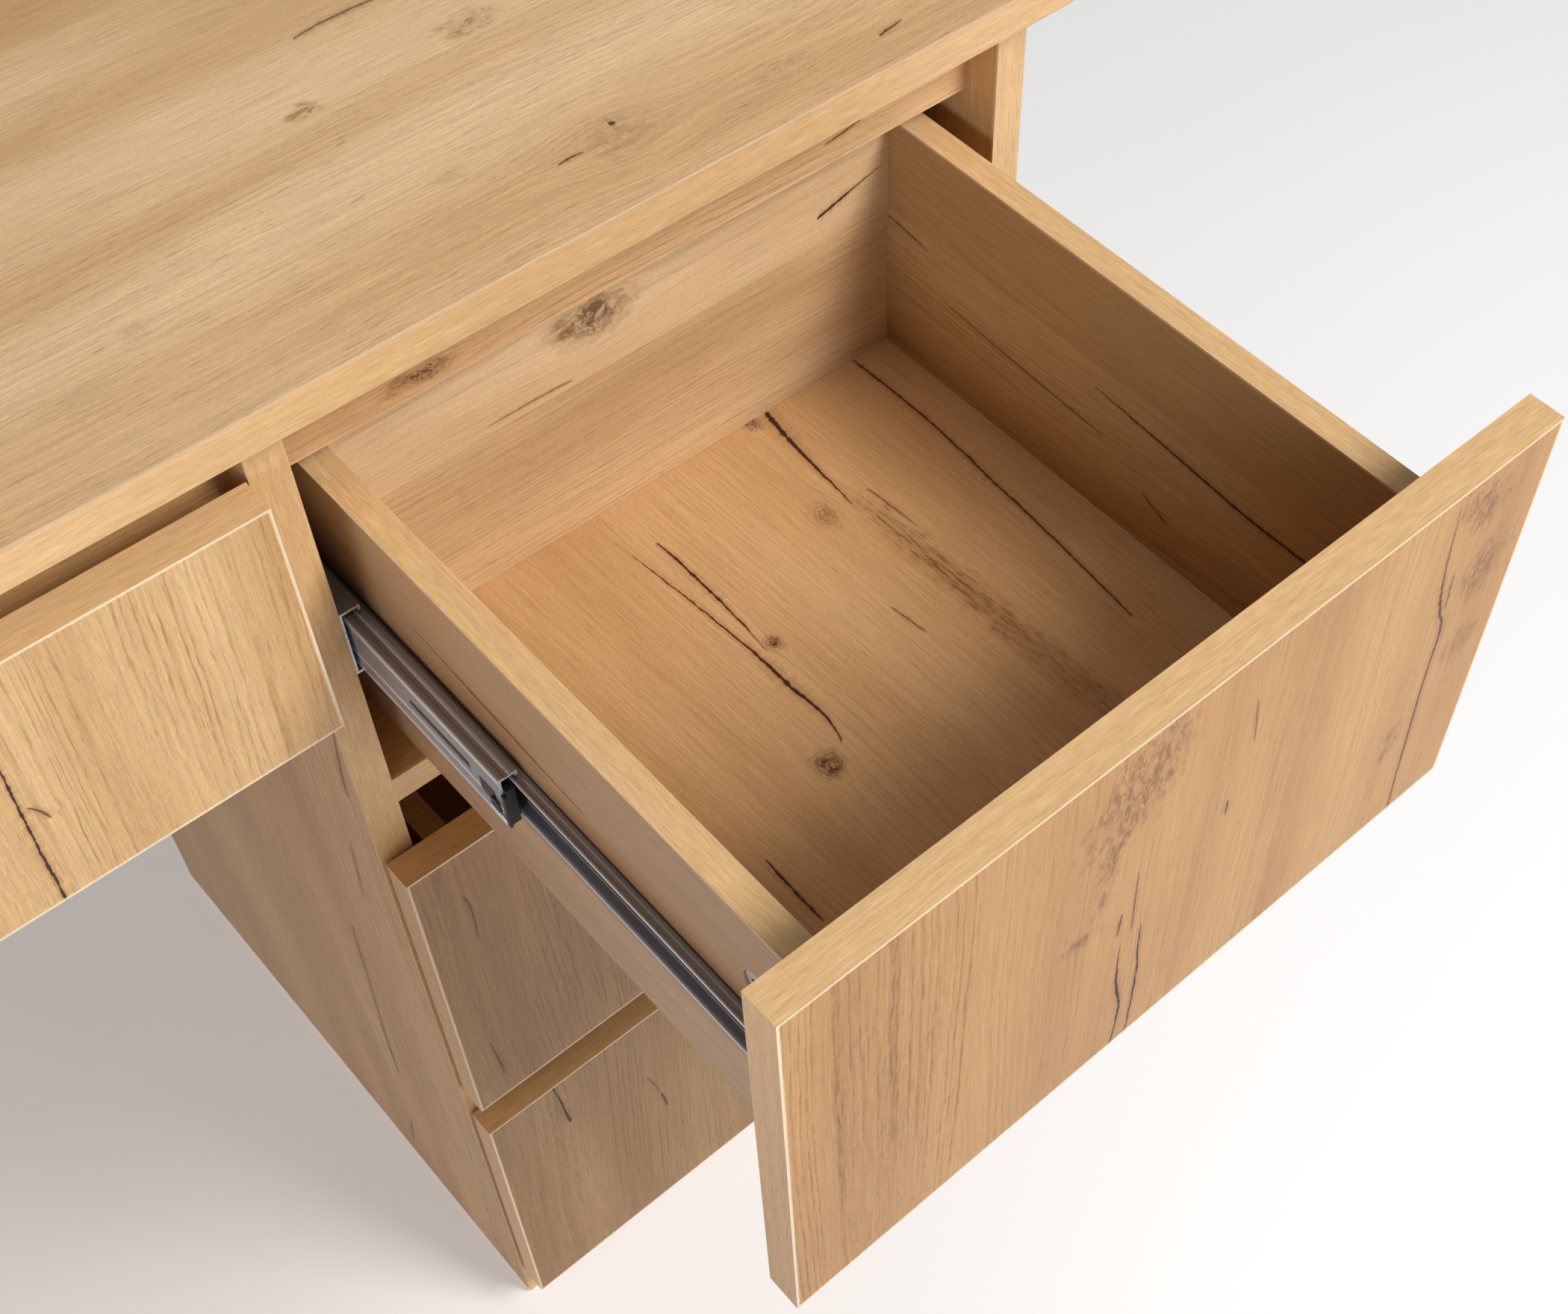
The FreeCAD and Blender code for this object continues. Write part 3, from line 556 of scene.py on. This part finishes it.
MARKS = {
    "top_drawer_front": [
        Curl(0, (184, 146), (38, 25), 0.95, 0.25),
        Curl(0, (140, 137), (30, 8), 0.8, 0.1),
        Curl(0, (109, 127), (6, 11), 0.9),
        Crack(0, (-4, 154, 0.5), (25, 156, 0.8), (45, 153, 1.1), (60, 151, 0.7), (82, 150, 0.1)),
        Crack(0, (-4, 163, 0.3), (45, 163, 0.7), (65, 161, 0.6), (86, 160, 0.1)),
        Crack(0, (85, 155, 0.1), (105, 154, 0.5), (127, 153, 0.1), depth=0.6),
        Crack(0, (90, 147, 0.1), (98, 147.5, 0.8), (105, 148, 0.1), depth=0.7),
        Crack(0, (117, 197, 0.1), (122, 196.5, 0.7), (127, 196, 0.1), depth=0.8),
        Crack(0, (154, 204, 0.1), (168, 202, 0.5), (182, 200, 0.1), depth=0.5),
        Crack(
            0,
            (-4, 318, 0.6),
            (30, 315, 0.7),
            (60, 313, 0.9),
            (90, 311, 0.8),
            (125, 310, 1.1),
            (140, 305, 1.2),
            (160, 300, 0.8),
            (205, 295, 0.1),
            depth=0.75,
        ),
        Crack(0, (140, 308, 0.2), (150, 307, 0.6), (162, 306, 0.1), depth=0.6),
        Curl(0, (194, 311), (20, 16), 0.85, -0.3),
        Curl(0, (150, 325), (22, 16), 0.85),
        Curl(0, (104, 328), (12, 14), 0.6),
        Curl(0, (65, 300), (16, 7), 0.6),
        Streaks(0, (105, 40), (130, 34), 0.22),
    ],
    "top_drawer_bottom": [
        Crack(
            1,
            (136, 113, 0.2),
            (145, 116, 0.6),
            (155, 117, 0.9),
            (170, 116, 1.4),
            (186, 116, 1.0),
            (220, 114, 0.5),
            (245, 112, 0.4),
            (267, 110, 0.1),
        ),
        Crack(1, (190, 120, 0.1), (215, 122, 0.6), (235, 122.5, 0.9), (265, 122, 0.2)),
        Crack(1, (80, 56, 0.3), (98, 56.5, 0.8), (115, 57, 0.1)),
        Crack(1, (227, 198, 0.2), (260, 200, 1.2), (280, 202, 1.8), (293, 204, 1.9)),
        Crack(1, (230, 208, 0.2), (222, 209, 0.5), (200, 210, 0.1), depth=0.6),
        Crack(
            1,
            (105, 244, 0.2),
            (123, 246, 0.6),
            (170, 250, 0.8),
            (200, 252, 0.9),
            (225, 254, 0.8),
            (255, 255, 0.9),
            (293, 254, 0.4),
            depth=0.85,
        ),
        Crack(1, (155, 175, 0.1), (165, 174, 0.5), (175, 173, 0.1), depth=0.7),
        Streaks(1, (175, 203), (66, 9), 1.0, -0.03),
        Streaks(1, (110, 204), (70, 10), 0.6, -0.04),
        Knot(1, (132, 103), (6, 5.5), 1.0),
        Knot(1, (192, 125), (4, 3.2), 1.0),
        Knot(1, (230, 185), (7, 5), 0.45),
        Knot(1, (292, 195), (5, 4), 0.8),
    ],
    "top_drawer_back": [
        Knot(0, (119, 123), (17, 10), 0.8, 0.5),
        Curl(0, (105, 125), (6, 8), 0.9),
        Crack(0, (231, 108, 0.2), (243, 111, 1.2), (250, 113, 0.7), (266, 117, 0.1)),
        Crack(0, (66, 98, 0.1), (92, 98, 0.5), (106, 97, 0.1), depth=0.5),
    ],
    "top_drawer_right_side": [
        Crack(
            0,
            (20, 74, 0.5),
            (47, 75, 1.1),
            (75, 75, 1.1),
            (100, 77, 1.0),
            (125, 79, 0.8),
            (163, 82, 0.1),
        ),
        Crack(0, (153, 59, 0.1), (200, 61, 0.5), (252, 64, 0.2), depth=0.7),
        Crack(0, (262, 85, 0.1), (275, 87, 0.5), (290, 88, 0.2), depth=0.7),
        Crack(0, (114, 38, 0.2), (122, 41, 0.7), (130, 45, 0.1), depth=0.7),
    ],
    "knee_drawer_front": [
        Crack(
            0,
            (-4, 485.5, 0.7),
            (30, 486, 0.8),
            (55, 486.8, 0.7),
            (80, 487.5, 0.6),
            (104, 486, 0.1),
        ),
        Crack(0, (43, 494, 0.2), (48, 492.5, 0.8), (54, 489, 0.1), depth=0.7),
    ],
    "middle_drawer_front": [
        Crack(0, (18, 17, 0.1), (35, 16, 0.5), (55, 14, 0.1), depth=0.6),
        Crack(0, (140, 23, 0.1), (165, 24, 0.5), (180, 22, 0.1), depth=0.5),
    ],
    "bottom_drawer_front": [
        Crack(0, (164, 43.5, 0.3), (172, 42.5, 1.0), (190, 41, 0.7), (214, 38, 0.5), depth=0.9),
        Crack(0, (102, 102, 0.2), (112, 100.5, 0.9), (122, 99, 0.1), depth=0.8),
        Crack(0, (122, 99, 0.1), (140, 95, 0.4), (150, 92, 0.1), depth=0.5),
    ],
    "pedestal_partition": [
        Crack(
            0,
            (150, 91, 0.3),
            (175, 90, 1.6),
            (220, 86, 1.3),
            (270, 80, 1.0),
            (310, 76, 0.9),
            (338, 72, 0.2),
            depth=0.5,
        ),
        Crack(0, (515, 13, 0.2), (540, 9, 1.6), (575, 2, 0.4), depth=0.45),
        Crack(0, (405, 39, 0.2), (430, 35, 0.9), (465, 29, 0.2), depth=0.35),
        Crack(0, (25, 114, 0.2), (45, 110, 1.0), (72, 103, 0.2), depth=0.45),
    ],
    "desktop_main": [
        Crack(1, (1240, 150, 0.1), (1262, 152, 0.8), (1280, 151, 0.5), (1300, 150, 0.1), depth=0.6),
        Curl(1, (1221, 114), (8, 5), 0.8),
        Curl(1, (1292, 118), (16, 8), 0.7, 0.1),
        Knot(1, (1124, 55), (5, 4), 0.16, 0.3),
        Knot(1, (1240, 53), (6, 4), 0.14, 0.3),
        Crack(1, (1297, 40, 0.6), (1298, 40, 1.6), (1299.5, 40, 0.6), depth=0.8),
        Crack(1, (1271, 34, 0.1), (1276, 34.5, 0.6), (1282, 34, 0.1), depth=0.8),
        Knot(1, (1297, 32), (15, 11), 0.16, 0.6),
        Knot(1, (1362, 25), (14, 5), 0.16, 0.6),
        Crack(1, (1401, 17, 0.2), (1406, 17.5, 0.8), (1414, 19, 0.1), depth=0.8),
        Crack(1, (1415, 56, 0.2), (1420, 57, 1.0), (1426, 59, 0.1), depth=0.8),
    ],
    "pedestal_top_rail": [
        Knot(0, (62, 8), (10, 4), 0.9),
        Curl(0, (49, 8), (8, 5), 0.7),
        Crack(0, (244, 10, 0.1), (256, 12, 0.6), (263, 13, 0.1), depth=0.8),
    ],
}


# ---------------------------------------------------------------- boards

# Grain axis, thickness axis, edges whose bands show as a pale line with a painted highlight, and how
# strong the line is.
BOARDS = {
    "desktop_main": ("X", "Z", "X+ X- Y+ Y-", 0.4),
    "desktop_return": ("Y", "Z", "X+ X- Y-", 0.4),
    "pedestal_partition": ("Z", "X", "Y- Y+", 0.35),
    "right_side_panel": ("Z", "X", "Y- Y+", 0.35),
    "corner_partition": ("Z", "X", "Y- Y+", 0.35),
    "left_end_panel": ("Z", "X", "Y- Y+", 0.35),
    "return_end_panel": ("Z", "Y", "X- X+", 0.35),
    "knee_back_apron": ("X", "Y", "Z-", 0.15),
    "corner_back_apron": ("X", "Y", "Z-", 0.15),
    "return_side_apron": ("Y", "X", "Z-", 0.15),
    "return_rail": ("Y", "X", "Z-", 0.15),
    "pedestal_top_rail": ("X", "Y", "Z-", 0.15),
    "knee_top_rail": ("X", "Y", "Z-", 0.15),
    "mid_stretcher": ("X", "Z", "Y-", 0.35),
    "pedestal_floor": ("X", "Z", "Y-", 0.35),
}
for drawer in DRAWERS:
    BOARDS[drawer + "_front"] = ("Z", "Y", "X+ X- Z+ Z-", 0.64)
    BOARDS[drawer + "_left_side"] = ("Y", "X", "Z+", 0.3)
    BOARDS[drawer + "_right_side"] = ("Y", "X", "Z+", 0.3)
    BOARDS[drawer + "_back"] = ("X", "Y", "Z+", 0.15)

# Each board's tint, fitted so its colour comes out right under these lights. Beside any real difference
# in the print's tone,
# it paints light and shade: lighter for the desktop, partition, rail, knee drawer front and the top
# drawer's back, bottom and left side; darker, as painted shade, for the middle and bottom drawer fronts
# under the open top drawer and for that drawer's right side; and a less blue top drawer front.
TONE_AND_PAINTED_LIGHT = {
    "desktop_main": (1.2, 1.34, 1.75, 1.0),
    "desktop_return": (1.2, 1.34, 1.75, 1.0),
    "top_drawer_front": (0.81, 0.73, 0.58, 1.0),
    "knee_drawer_front": (1.06, 1.15, 1.3, 1.0),
    "middle_drawer_front": (0.6, 0.56, 0.54, 1.0),
    "bottom_drawer_front": (0.58, 0.57, 0.6, 1.0),
    "pedestal_partition": (1.1, 1.26, 1.56, 1.0),
    "pedestal_top_rail": (1.12, 1.16, 1.35, 1.0),
    "top_drawer_back": (1.2, 1.4, 1.9, 1.0),
    "top_drawer_bottom": (1.03, 1.07, 1.25, 1.0),
    "top_drawer_left_side": (0.84, 0.94, 1.28, 1.0),
    "top_drawer_right_side": (0.76, 0.8, 0.84, 1.0),
}
PLAIN_TONE = (1.0, 1.0, 1.0, 1.0)

# Where a seam between planks of the print lies, how wide a plank is, how far it was cut off the
# pith, the pitch of its rings, and how strongly their rows of pores show.
PRINT_PLANS = {
    "desktop_main": (110.0, 176.0, 0.0, 3.6, 0.4),
    "top_drawer_front": (76.0, 290.0, 190.0, 4.4, 1.0),
    "top_drawer_back": (94.0, 130.0, 0.0, 3.4, 0.7),
    "top_drawer_right_side": (94.0, 150.0, 60.0, 3.6, 0.9),
    "top_drawer_left_side": (40.0, 190.0, 160.0, 3.0, 0.6),
    "top_drawer_bottom": (35.0, 400.0, 190.0, 2.6, 0.6),
    "knee_drawer_front": (700.0, 300.0, 170.0, 4.2, 0.8),
    "pedestal_partition": (150.0, 260.0, 170.0, 5.0, 0.7),
    "middle_drawer_front": (200.0, 260.0, 170.0, 4.0, 0.8),
    "bottom_drawer_front": (190.0, 260.0, 170.0, 4.0, 0.8),
}


def random_marks(dice, length, width):
    """A few cracks and knots for a board whose print isn't known."""
    marks = []
    for _ in range(dice.randint(1, 3)):
        side = dice.randint(0, 1)
        start = dice.uniform(0.05, 0.6) * length
        reach = min(dice.uniform(60, 220), length * 0.35)
        across = dice.uniform(0.1, 0.9) * width
        slope = dice.uniform(-0.06, 0.06)
        thick = dice.uniform(0.4, 1.2)
        points = []
        for share, swell in ((0.0, 0.15), (0.3, 0.8), (0.55, 1.0), (0.8, 0.5), (1.0, 0.1)):
            run = share * reach
            points.append((start + run, across + slope * run + dice.uniform(-1, 1), thick * swell))
        marks.append(Crack(side, *points, depth=dice.uniform(0.5, 0.9)))
    if width > 60:
        for _ in range(dice.randint(0, 2)):
            middle = (dice.uniform(0.1, 0.9) * length, dice.uniform(0.1, 0.9) * width)
            size = dice.uniform(4, 11)
            marks.append(
                Knot(dice.randint(0, 1), middle, (size * 1.5, size), dice.uniform(0.5, 0.9))
            )
    return marks


def dress(node, material):
    """Give a carried node one material."""
    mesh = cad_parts[node].data
    mesh.materials.clear()
    mesh.materials.append(material)


def soften(node, width):
    """Round a node's sharp edges a little."""
    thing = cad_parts[node]
    bevel = thing.modifiers.new("arris", "BEVEL")
    bevel.width = width
    bevel.segments = 2
    bevel.limit_method = "ANGLE"
    bevel.angle_limit = SHARP_EDGE
    bevel.use_clamp_overlap = False
    bevel.harden_normals = True


for number, (node, (grain, thickness, banded, line)) in enumerate(BOARDS.items()):
    dice = random.Random(node)
    low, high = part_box(node)
    size = (high - low) / MM
    cross = 3 - "XYZ".index(grain) - "XYZ".index(thickness)
    marks = MARKS.get(node)
    if marks is None:
        marks = random_marks(dice, size["XYZ".index(grain)], size[cross])
    plan = (
        dice.uniform(30, 120),
        dice.uniform(120, 210),
        dice.choice((0.0, 60.0, 140.0)),
        dice.uniform(2.6, 4.6),
        dice.uniform(0.6, 0.9),
    )
    board = Board(
        node, grain, thickness, banded, line, 3.0 * number, PRINT_PLANS.get(node, plan), marks
    )
    dress(node, board.material)
    soften(node, BOARD_ROUND)


# ---------------------------------------------------------------- hardboard sheets


def hardboard(node, grain, thickness, seed):
    """Thin sheet, printed like the boards, with the same fine edge grain on its edges."""
    marks = MARKS.get(node)
    if marks is None:
        low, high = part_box(node)
        size = (high - low) / MM
        cross = 3 - "XYZ".index(grain) - "XYZ".index(thickness)
        marks = random_marks(random.Random(node), size["XYZ".index(grain)], size[cross])
    plan = PRINT_PLANS.get(node, (35.0, 400.0, 190.0, 2.8, 0.6))
    board = Board(node, grain, thickness, "", 0.0, seed, plan, marks)
    dress(node, board.material)


for number, drawer in enumerate(DRAWERS):
    hardboard(drawer + "_bottom", "Y", "Z", 200.0 + number)
hardboard("pedestal_back", "Z", "Y", 210.0)


# ---------------------------------------------------------------- metal and plastic


def metal(name, colour, roughness, streak, along="Y", metallic=1.0):
    """Plated or rolled steel with fine streaks along one axis."""
    material, g, shader = new_material(name)
    spot = g.add("ShaderNodeTexCoord")
    x, y, z = g.parts(spot.outputs["Object"])
    scales = {"X": (40.0, 900.0, 900.0), "Y": (900.0, 40.0, 900.0), "Z": (900.0, 900.0, 40.0)}[along]
    streaks = g.noise(g.point(*(g.math("MULTIPLY", c, s) for c, s in zip((x, y, z), scales))), 2.0)
    spots = g.noise(g.point(*(g.math("MULTIPLY", c, 180.0) for c in (x, y, z))), 3.0, 0.6)
    dark = tuple(channel * (1 - streak) for channel in colour[:3]) + (1.0,)
    g.feed(shader.inputs["Base Color"], g.ramp(streaks, (0.3, dark), (0.65, colour)))
    shader.inputs["Metallic"].default_value = metallic
    g.feed(shader.inputs["Roughness"], g.span(spots, 0.3, 0.7, roughness * 0.8, roughness * 1.3))
    g.feed(shader.inputs["Normal"], g.bump(streaks, STEEL_RELIEF, 0.4))
    return material


def rolled_steel(node, web_bands, flange_bands):
    """Roll-formed bright steel with painted light: bands up the web and across the flanges paint in
    highlights, a reflection of the pale sky and shade in grooves and recesses, and the cut ends get a
    painted glint.
    """
    material, g, shader = new_material("steel_" + node)
    low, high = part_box(node)
    spot = g.add("ShaderNodeTexCoord")
    x, y, z = g.parts(spot.outputs["Object"])
    normal = [g.math("ABSOLUTE", part) for part in g.parts(spot.outputs["Normal"])]
    up = g.span(z, low.z, high.z, 0.0, 1.0)
    from_wall = g.math("MINIMUM", g.math("SUBTRACT", x, low.x), g.math("SUBTRACT", high.x, x))
    inward = g.span(from_wall, 0.0, SLIDE_REACH, 0.0, 1.0)
    scales = (900.0, 25.0, 900.0)
    streaks = g.noise(g.point(*(g.math("MULTIPLY", c, s) for c, s in zip((x, y, z), scales))), 2.0)
    # Painted highlights, reflection and shade, by height up the web and by distance from the wall across
    # the flanges.
    web = g.ramp(up, *web_bands)
    flange = g.ramp(inward, *flange_bands)
    colour = g.mix(g.step(normal[2], 0.5, 0.8), web, flange)
    # Painted glint on the cut ends.
    colour = g.mix(g.step(normal[1], 0.6, 0.9), colour, STEEL_GLINT)
    shading = g.span(streaks, 0.3, 0.7, 0.92, 1.06)
    colour = g.mix(1.0, colour, g.point(shading, shading, shading), "MULTIPLY")
    g.feed(shader.inputs["Base Color"], colour)
    shader.inputs["Metallic"].default_value = 0.3
    g.feed(shader.inputs["Roughness"], g.span(streaks, 0.3, 0.7, 0.2, 0.34))
    g.feed(shader.inputs["Normal"], g.bump(streaks, STEEL_RELIEF, 0.4))
    return material


def plastic(name, colour, roughness):
    """Moulded plastic with a fine spark-eroded texture."""
    material, g, shader = new_material(name)
    spot = g.add("ShaderNodeTexCoord")
    x, y, z = g.parts(spot.outputs["Object"])
    grain = g.noise(g.point(*(g.math("MULTIPLY", c, 1400.0) for c in (x, y, z))), 2.0)
    cloud = g.noise(g.point(*(g.math("MULTIPLY", c, 120.0) for c in (x, y, z))), 2.0)
    pale = tuple(min(1.0, channel * 1.35 + 0.01) for channel in colour[:3]) + (1.0,)
    g.feed(shader.inputs["Base Color"], g.ramp(cloud, (0.35, colour), (0.7, pale)))
    g.feed(shader.inputs["Roughness"], g.span(cloud, 0.3, 0.7, roughness * 0.85, roughness * 1.15))
    g.feed(shader.inputs["Normal"], g.bump(grain, 0.00003, 0.5))
    return material


def beech(name):
    """Turned beech with short dark flecks along the dowels' flutes."""
    material, g, shader = new_material(name)
    spot = g.add("ShaderNodeTexCoord")
    x, y, z = g.parts(spot.outputs["Object"])
    flecks = g.noise(g.point(*(g.math("MULTIPLY", c, 700.0) for c in (x, y, z))), 3.0, 0.6)
    tone = g.noise(g.point(*(g.math("MULTIPLY", c, 90.0) for c in (x, y, z))), 2.0)
    colour = g.ramp(tone, (0.3, srgb(206, 164, 118)), (0.7, srgb(228, 192, 148)))
    colour = g.mix(g.step(flecks, 0.6, 0.7), colour, srgb(156, 108, 68))
    g.feed(shader.inputs["Base Color"], colour)
    g.feed(shader.inputs["Roughness"], g.span(flecks, 0.3, 0.7, 0.5, 0.65))
    g.feed(shader.inputs["Normal"], g.bump(flecks, 0.00005, 0.5))
    return material


SLIDE_REACH = 10.0 * MM
# Steel colours: the glint and the near-white lines are painted highlights, the pale blue a painted
# reflection on rounded edges, the near-black and the dark blue painted shade in grooves and in the
# recessed web; taupe and grey are the steel's own colour.
STEEL_GLINT = srgb(244, 246, 250)
STEEL_PAINTED_REFLECTION = srgb(200, 210, 226)
STEEL_PAINTED_HIGHLIGHT = srgb(232, 234, 240)
STEEL_TAUPE = srgb(140, 136, 134)
STEEL_GREY = srgb(134, 137, 143)
STEEL_SHADED_BLUE = srgb(66, 78, 96)
STEEL_PAINTED_SHADE = srgb(24, 25, 28)
# Bands up each web (0 at its bottom) and across each flange (0 at the wall); their bright lines, pale
# edges and dark bands are painted highlights, reflection and shade.
INNER_WEB = (
    (0.0, STEEL_PAINTED_REFLECTION),
    (0.1, STEEL_PAINTED_REFLECTION),
    (0.15, STEEL_SHADED_BLUE),
    (0.42, STEEL_SHADED_BLUE),
    (0.46, STEEL_PAINTED_HIGHLIGHT),
    (0.49, STEEL_GREY),
    (0.56, STEEL_PAINTED_HIGHLIGHT),
    (0.59, STEEL_GREY),
    (0.86, STEEL_TAUPE),
    (0.9, STEEL_PAINTED_SHADE),
    (0.95, STEEL_PAINTED_HIGHLIGHT),
)
INNER_FLANGE = (
    (0.0, STEEL_PAINTED_HIGHLIGHT),
    (0.12, STEEL_TAUPE),
    (0.45, STEEL_TAUPE),
    (0.52, STEEL_PAINTED_SHADE),
    (0.6, STEEL_GREY),
    (0.8, STEEL_PAINTED_HIGHLIGHT),
    (0.9, STEEL_GREY),
)
MIDDLE_WEB = (
    (0.0, STEEL_PAINTED_REFLECTION),
    (0.07, STEEL_PAINTED_REFLECTION),
    (0.11, STEEL_GREY),
    (0.28, STEEL_TAUPE),
    (0.36, STEEL_PAINTED_HIGHLIGHT),
    (0.4, STEEL_GREY),
    (0.88, STEEL_GREY),
    (0.95, STEEL_PAINTED_HIGHLIGHT),
)
MIDDLE_FLANGE = (
    (0.0, STEEL_PAINTED_HIGHLIGHT),
    (0.1, STEEL_TAUPE),
    (0.44, STEEL_TAUPE),
    (0.5, STEEL_PAINTED_HIGHLIGHT),
    (0.56, STEEL_TAUPE),
    (0.85, STEEL_GREY),
)
OUTER_WEB = ((0.0, STEEL_PAINTED_REFLECTION), (0.1, STEEL_GREY), (0.9, STEEL_GREY), (1.0, STEEL_PAINTED_REFLECTION))
OUTER_FLANGE = ((0.0, STEEL_PAINTED_HIGHLIGHT), (0.2, STEEL_GREY), (0.9, STEEL_TAUPE))
ZINC = metal("fitting_zinc", srgb(186, 188, 192), 0.38, 0.2, "Z")
# The latch tab's chrome shine is a painted reflection: near-white and mostly diffuse instead of a
# mirror.
CHROME_PAINTED_SHINE = metal("chrome_tab", srgb(238, 241, 246), 0.2, 0.08, metallic=0.35)
LATCH = plastic("latch_plastic", srgb(10, 10, 11), 0.5)
GLIDE = plastic("glide_plastic", srgb(214, 208, 196), 0.45)
BEECH = beech("beech_dowel")

for drawer in DRAWERS:
    inner = drawer + "_inner_members"
    middle = drawer + "_middle_members"
    dress(inner, rolled_steel(inner, INNER_WEB, INNER_FLANGE))
    dress(middle, rolled_steel(middle, MIDDLE_WEB, MIDDLE_FLANGE))
    soften(inner, STEEL_ROUND)
    soften(middle, STEEL_ROUND)
    dress(drawer + "_slide_latches", LATCH)
    dress(drawer + "_fixings", ZINC)
dress("outer_slide_members", rolled_steel("outer_slide_members", OUTER_WEB, OUTER_FLANGE))
soften("outer_slide_members", STEEL_ROUND)
for node in ("outer_slide_screws", "frame_cam_locks", "joining_plates", "joining_plate_screws"):
    dress(node, ZINC)
dress("foot_glides", GLIDE)
dress("frame_dowels", BEECH)


# ---------------------------------------------------------------- the latches' small parts

# Outlines in millimetres: back from the middle member's front end, up from its middle line.
LEVER_HEAD = ((1.5, -7.2), (3.6, -8.4), (6.4, -7.6), (7.6, -5.0), (7.0, -2.2), (4.6, -1.2), (2.2, -2.4))
CHROME_TAB = (
    (-0.6, -12.8),
    (5.4, -12.8),
    (9.0, -11.4),
    (9.0, -9.2),
    (5.6, -8.8),
    (3.4, -9.4),
    (1.2, -8.6),
    (-0.6, -9.4),
)
LEVER_HEAD_RISE = 0.8 * MM
TAB_RISE = 0.5 * MM


def web_piece(name, drawer, outline, rise, material):
    """A flat piece standing a little proud of the webs of both middle members of a drawer."""
    low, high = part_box(drawer + "_middle_members")
    axis = (low.z + high.z) / 2
    shape = bmesh.new()
    for face, out in ((low.x, -1.0), (high.x, 1.0)):
        corners = [(low.y + back * MM, axis + up * MM) for back, up in outline]
        near = [shape.verts.new((face, y, z)) for y, z in corners]
        far = [shape.verts.new((face + out * rise, y, z)) for y, z in corners]
        shape.faces.new(near)
        shape.faces.new(far)
        for index in range(len(corners)):
            after = (index + 1) % len(corners)
            shape.faces.new((near[index], near[after], far[after], far[index]))
    bmesh.ops.recalc_face_normals(shape, faces=shape.faces)
    mesh = bpy.data.meshes.new(name)
    shape.to_mesh(mesh)
    shape.free()
    mesh.materials.append(material)
    piece = bpy.data.objects.new(name, mesh)
    bpy.context.collection.objects.link(piece)
    bevel = piece.modifiers.new("round", "BEVEL")
    bevel.width = rise * 0.45
    bevel.segments = 3
    bevel.harden_normals = True
    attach(piece, drawer + "_middle_slides")


for drawer in DRAWERS:
    web_piece(drawer + "_lever_heads", drawer, LEVER_HEAD, LEVER_HEAD_RISE, LATCH)
    web_piece(drawer + "_latch_tabs", drawer, CHROME_TAB, TAB_RISE, CHROME_PAINTED_SHINE)


# ---------------------------------------------------------------- floor, light and camera


def floor_material():
    """Pale, very slightly mottled studio floor."""
    material, g, shader = new_material("studio_floor")
    spot = g.add("ShaderNodeTexCoord")
    cloud = g.noise(spot.outputs["Object"], 2.0)
    g.feed(
        shader.inputs["Base Color"],
        g.ramp(cloud, (0.3, FLOOR_DARK), (0.7, FLOOR_PALE)),
    )
    shader.inputs["Roughness"].default_value = 0.9
    shader.inputs["Specular IOR Level"].default_value = 0.1
    shader.inputs["Emission Color"].default_value = (1.0, 1.0, 1.0, 1.0)
    shader.inputs["Emission Strength"].default_value = FLOOR_GLOW
    return material


def studio_floor(size):
    mesh = bpy.data.meshes.new("studio_floor")
    corners = [(-size, -size, 0), (size, -size, 0), (size, size, 0), (-size, size, 0)]
    mesh.from_pydata(corners, [], [(0, 1, 2, 3)])
    mesh.materials.append(floor_material())
    floor = bpy.data.objects.new("studio_floor", mesh)
    bpy.context.collection.objects.link(floor)


def soft_light(name, toward, distance, size, strength, target, colour=(1.0, 1.0, 1.0)):
    """A square soft light that lights a surface facing it as strongly as a white sky would."""
    light = bpy.data.lights.new(name, "AREA")
    light.shape = "SQUARE"
    light.size = size
    light.energy = math.pi**2 * strength * distance**2
    light.color = colour
    holder = bpy.data.objects.new(name, light)
    direction = Vector(toward).normalized()
    holder.location = Vector(target) + direction * distance
    holder.rotation_euler = direction.to_track_quat("Z", "Y").to_euler()
    bpy.context.collection.objects.link(holder)


def sky(strength):
    world = bpy.data.worlds.new("studio")
    world.use_nodes = True
    background = world.node_tree.nodes["Background"]
    background.inputs["Color"].default_value = (1.0, 1.0, 1.0, 1.0)
    background.inputs["Strength"].default_value = strength
    bpy.context.scene.world = world


def camera():
    """The camera: where it stands, how it is turned, its lens and its shift."""
    lens = bpy.data.cameras.new("camera")
    lens.sensor_fit = "HORIZONTAL"
    lens.sensor_width = 36.0
    lens.lens = 48.91
    lens.shift_x = -0.10639
    lens.shift_y = 0.01701
    lens.clip_start = 0.01
    lens.clip_end = 100.0
    holder = bpy.data.objects.new("camera", lens)
    right = Vector((0.73711573, -0.67510345, 0.02992887))
    down = Vector((-0.52875837, -0.60377437, -0.59654933))
    forward = Vector((0.4208028, 0.42390075, -0.80201818))
    turn = Matrix((right, -down, -forward)).transposed().to_4x4()
    holder.matrix_world = Matrix.Translation((0.22211, -0.39375, 1.24187)) @ turn
    bpy.context.collection.objects.link(holder)
    bpy.context.scene.camera = holder


low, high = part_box("top_drawer_front")
focus = (low + high) / 2
studio_floor(FLOOR_REACH)
sky(SKY_STRENGTH)
soft_light("key_light", (0.34, -0.62, 0.73), LIGHT_DISTANCE, 1.1, 1.05, focus)
soft_light("top_light", (0.1, -0.3, 0.95), LIGHT_DISTANCE, 1.8, 0.12, focus)
soft_light("side_light", (-0.9, -0.35, 0.2), LIGHT_DISTANCE, 1.1, 0.38, focus, SIDE_TINT)
camera()
bpy.context.scene.view_settings.view_transform = "Standard"
bpy.context.scene.view_settings.look = "None"
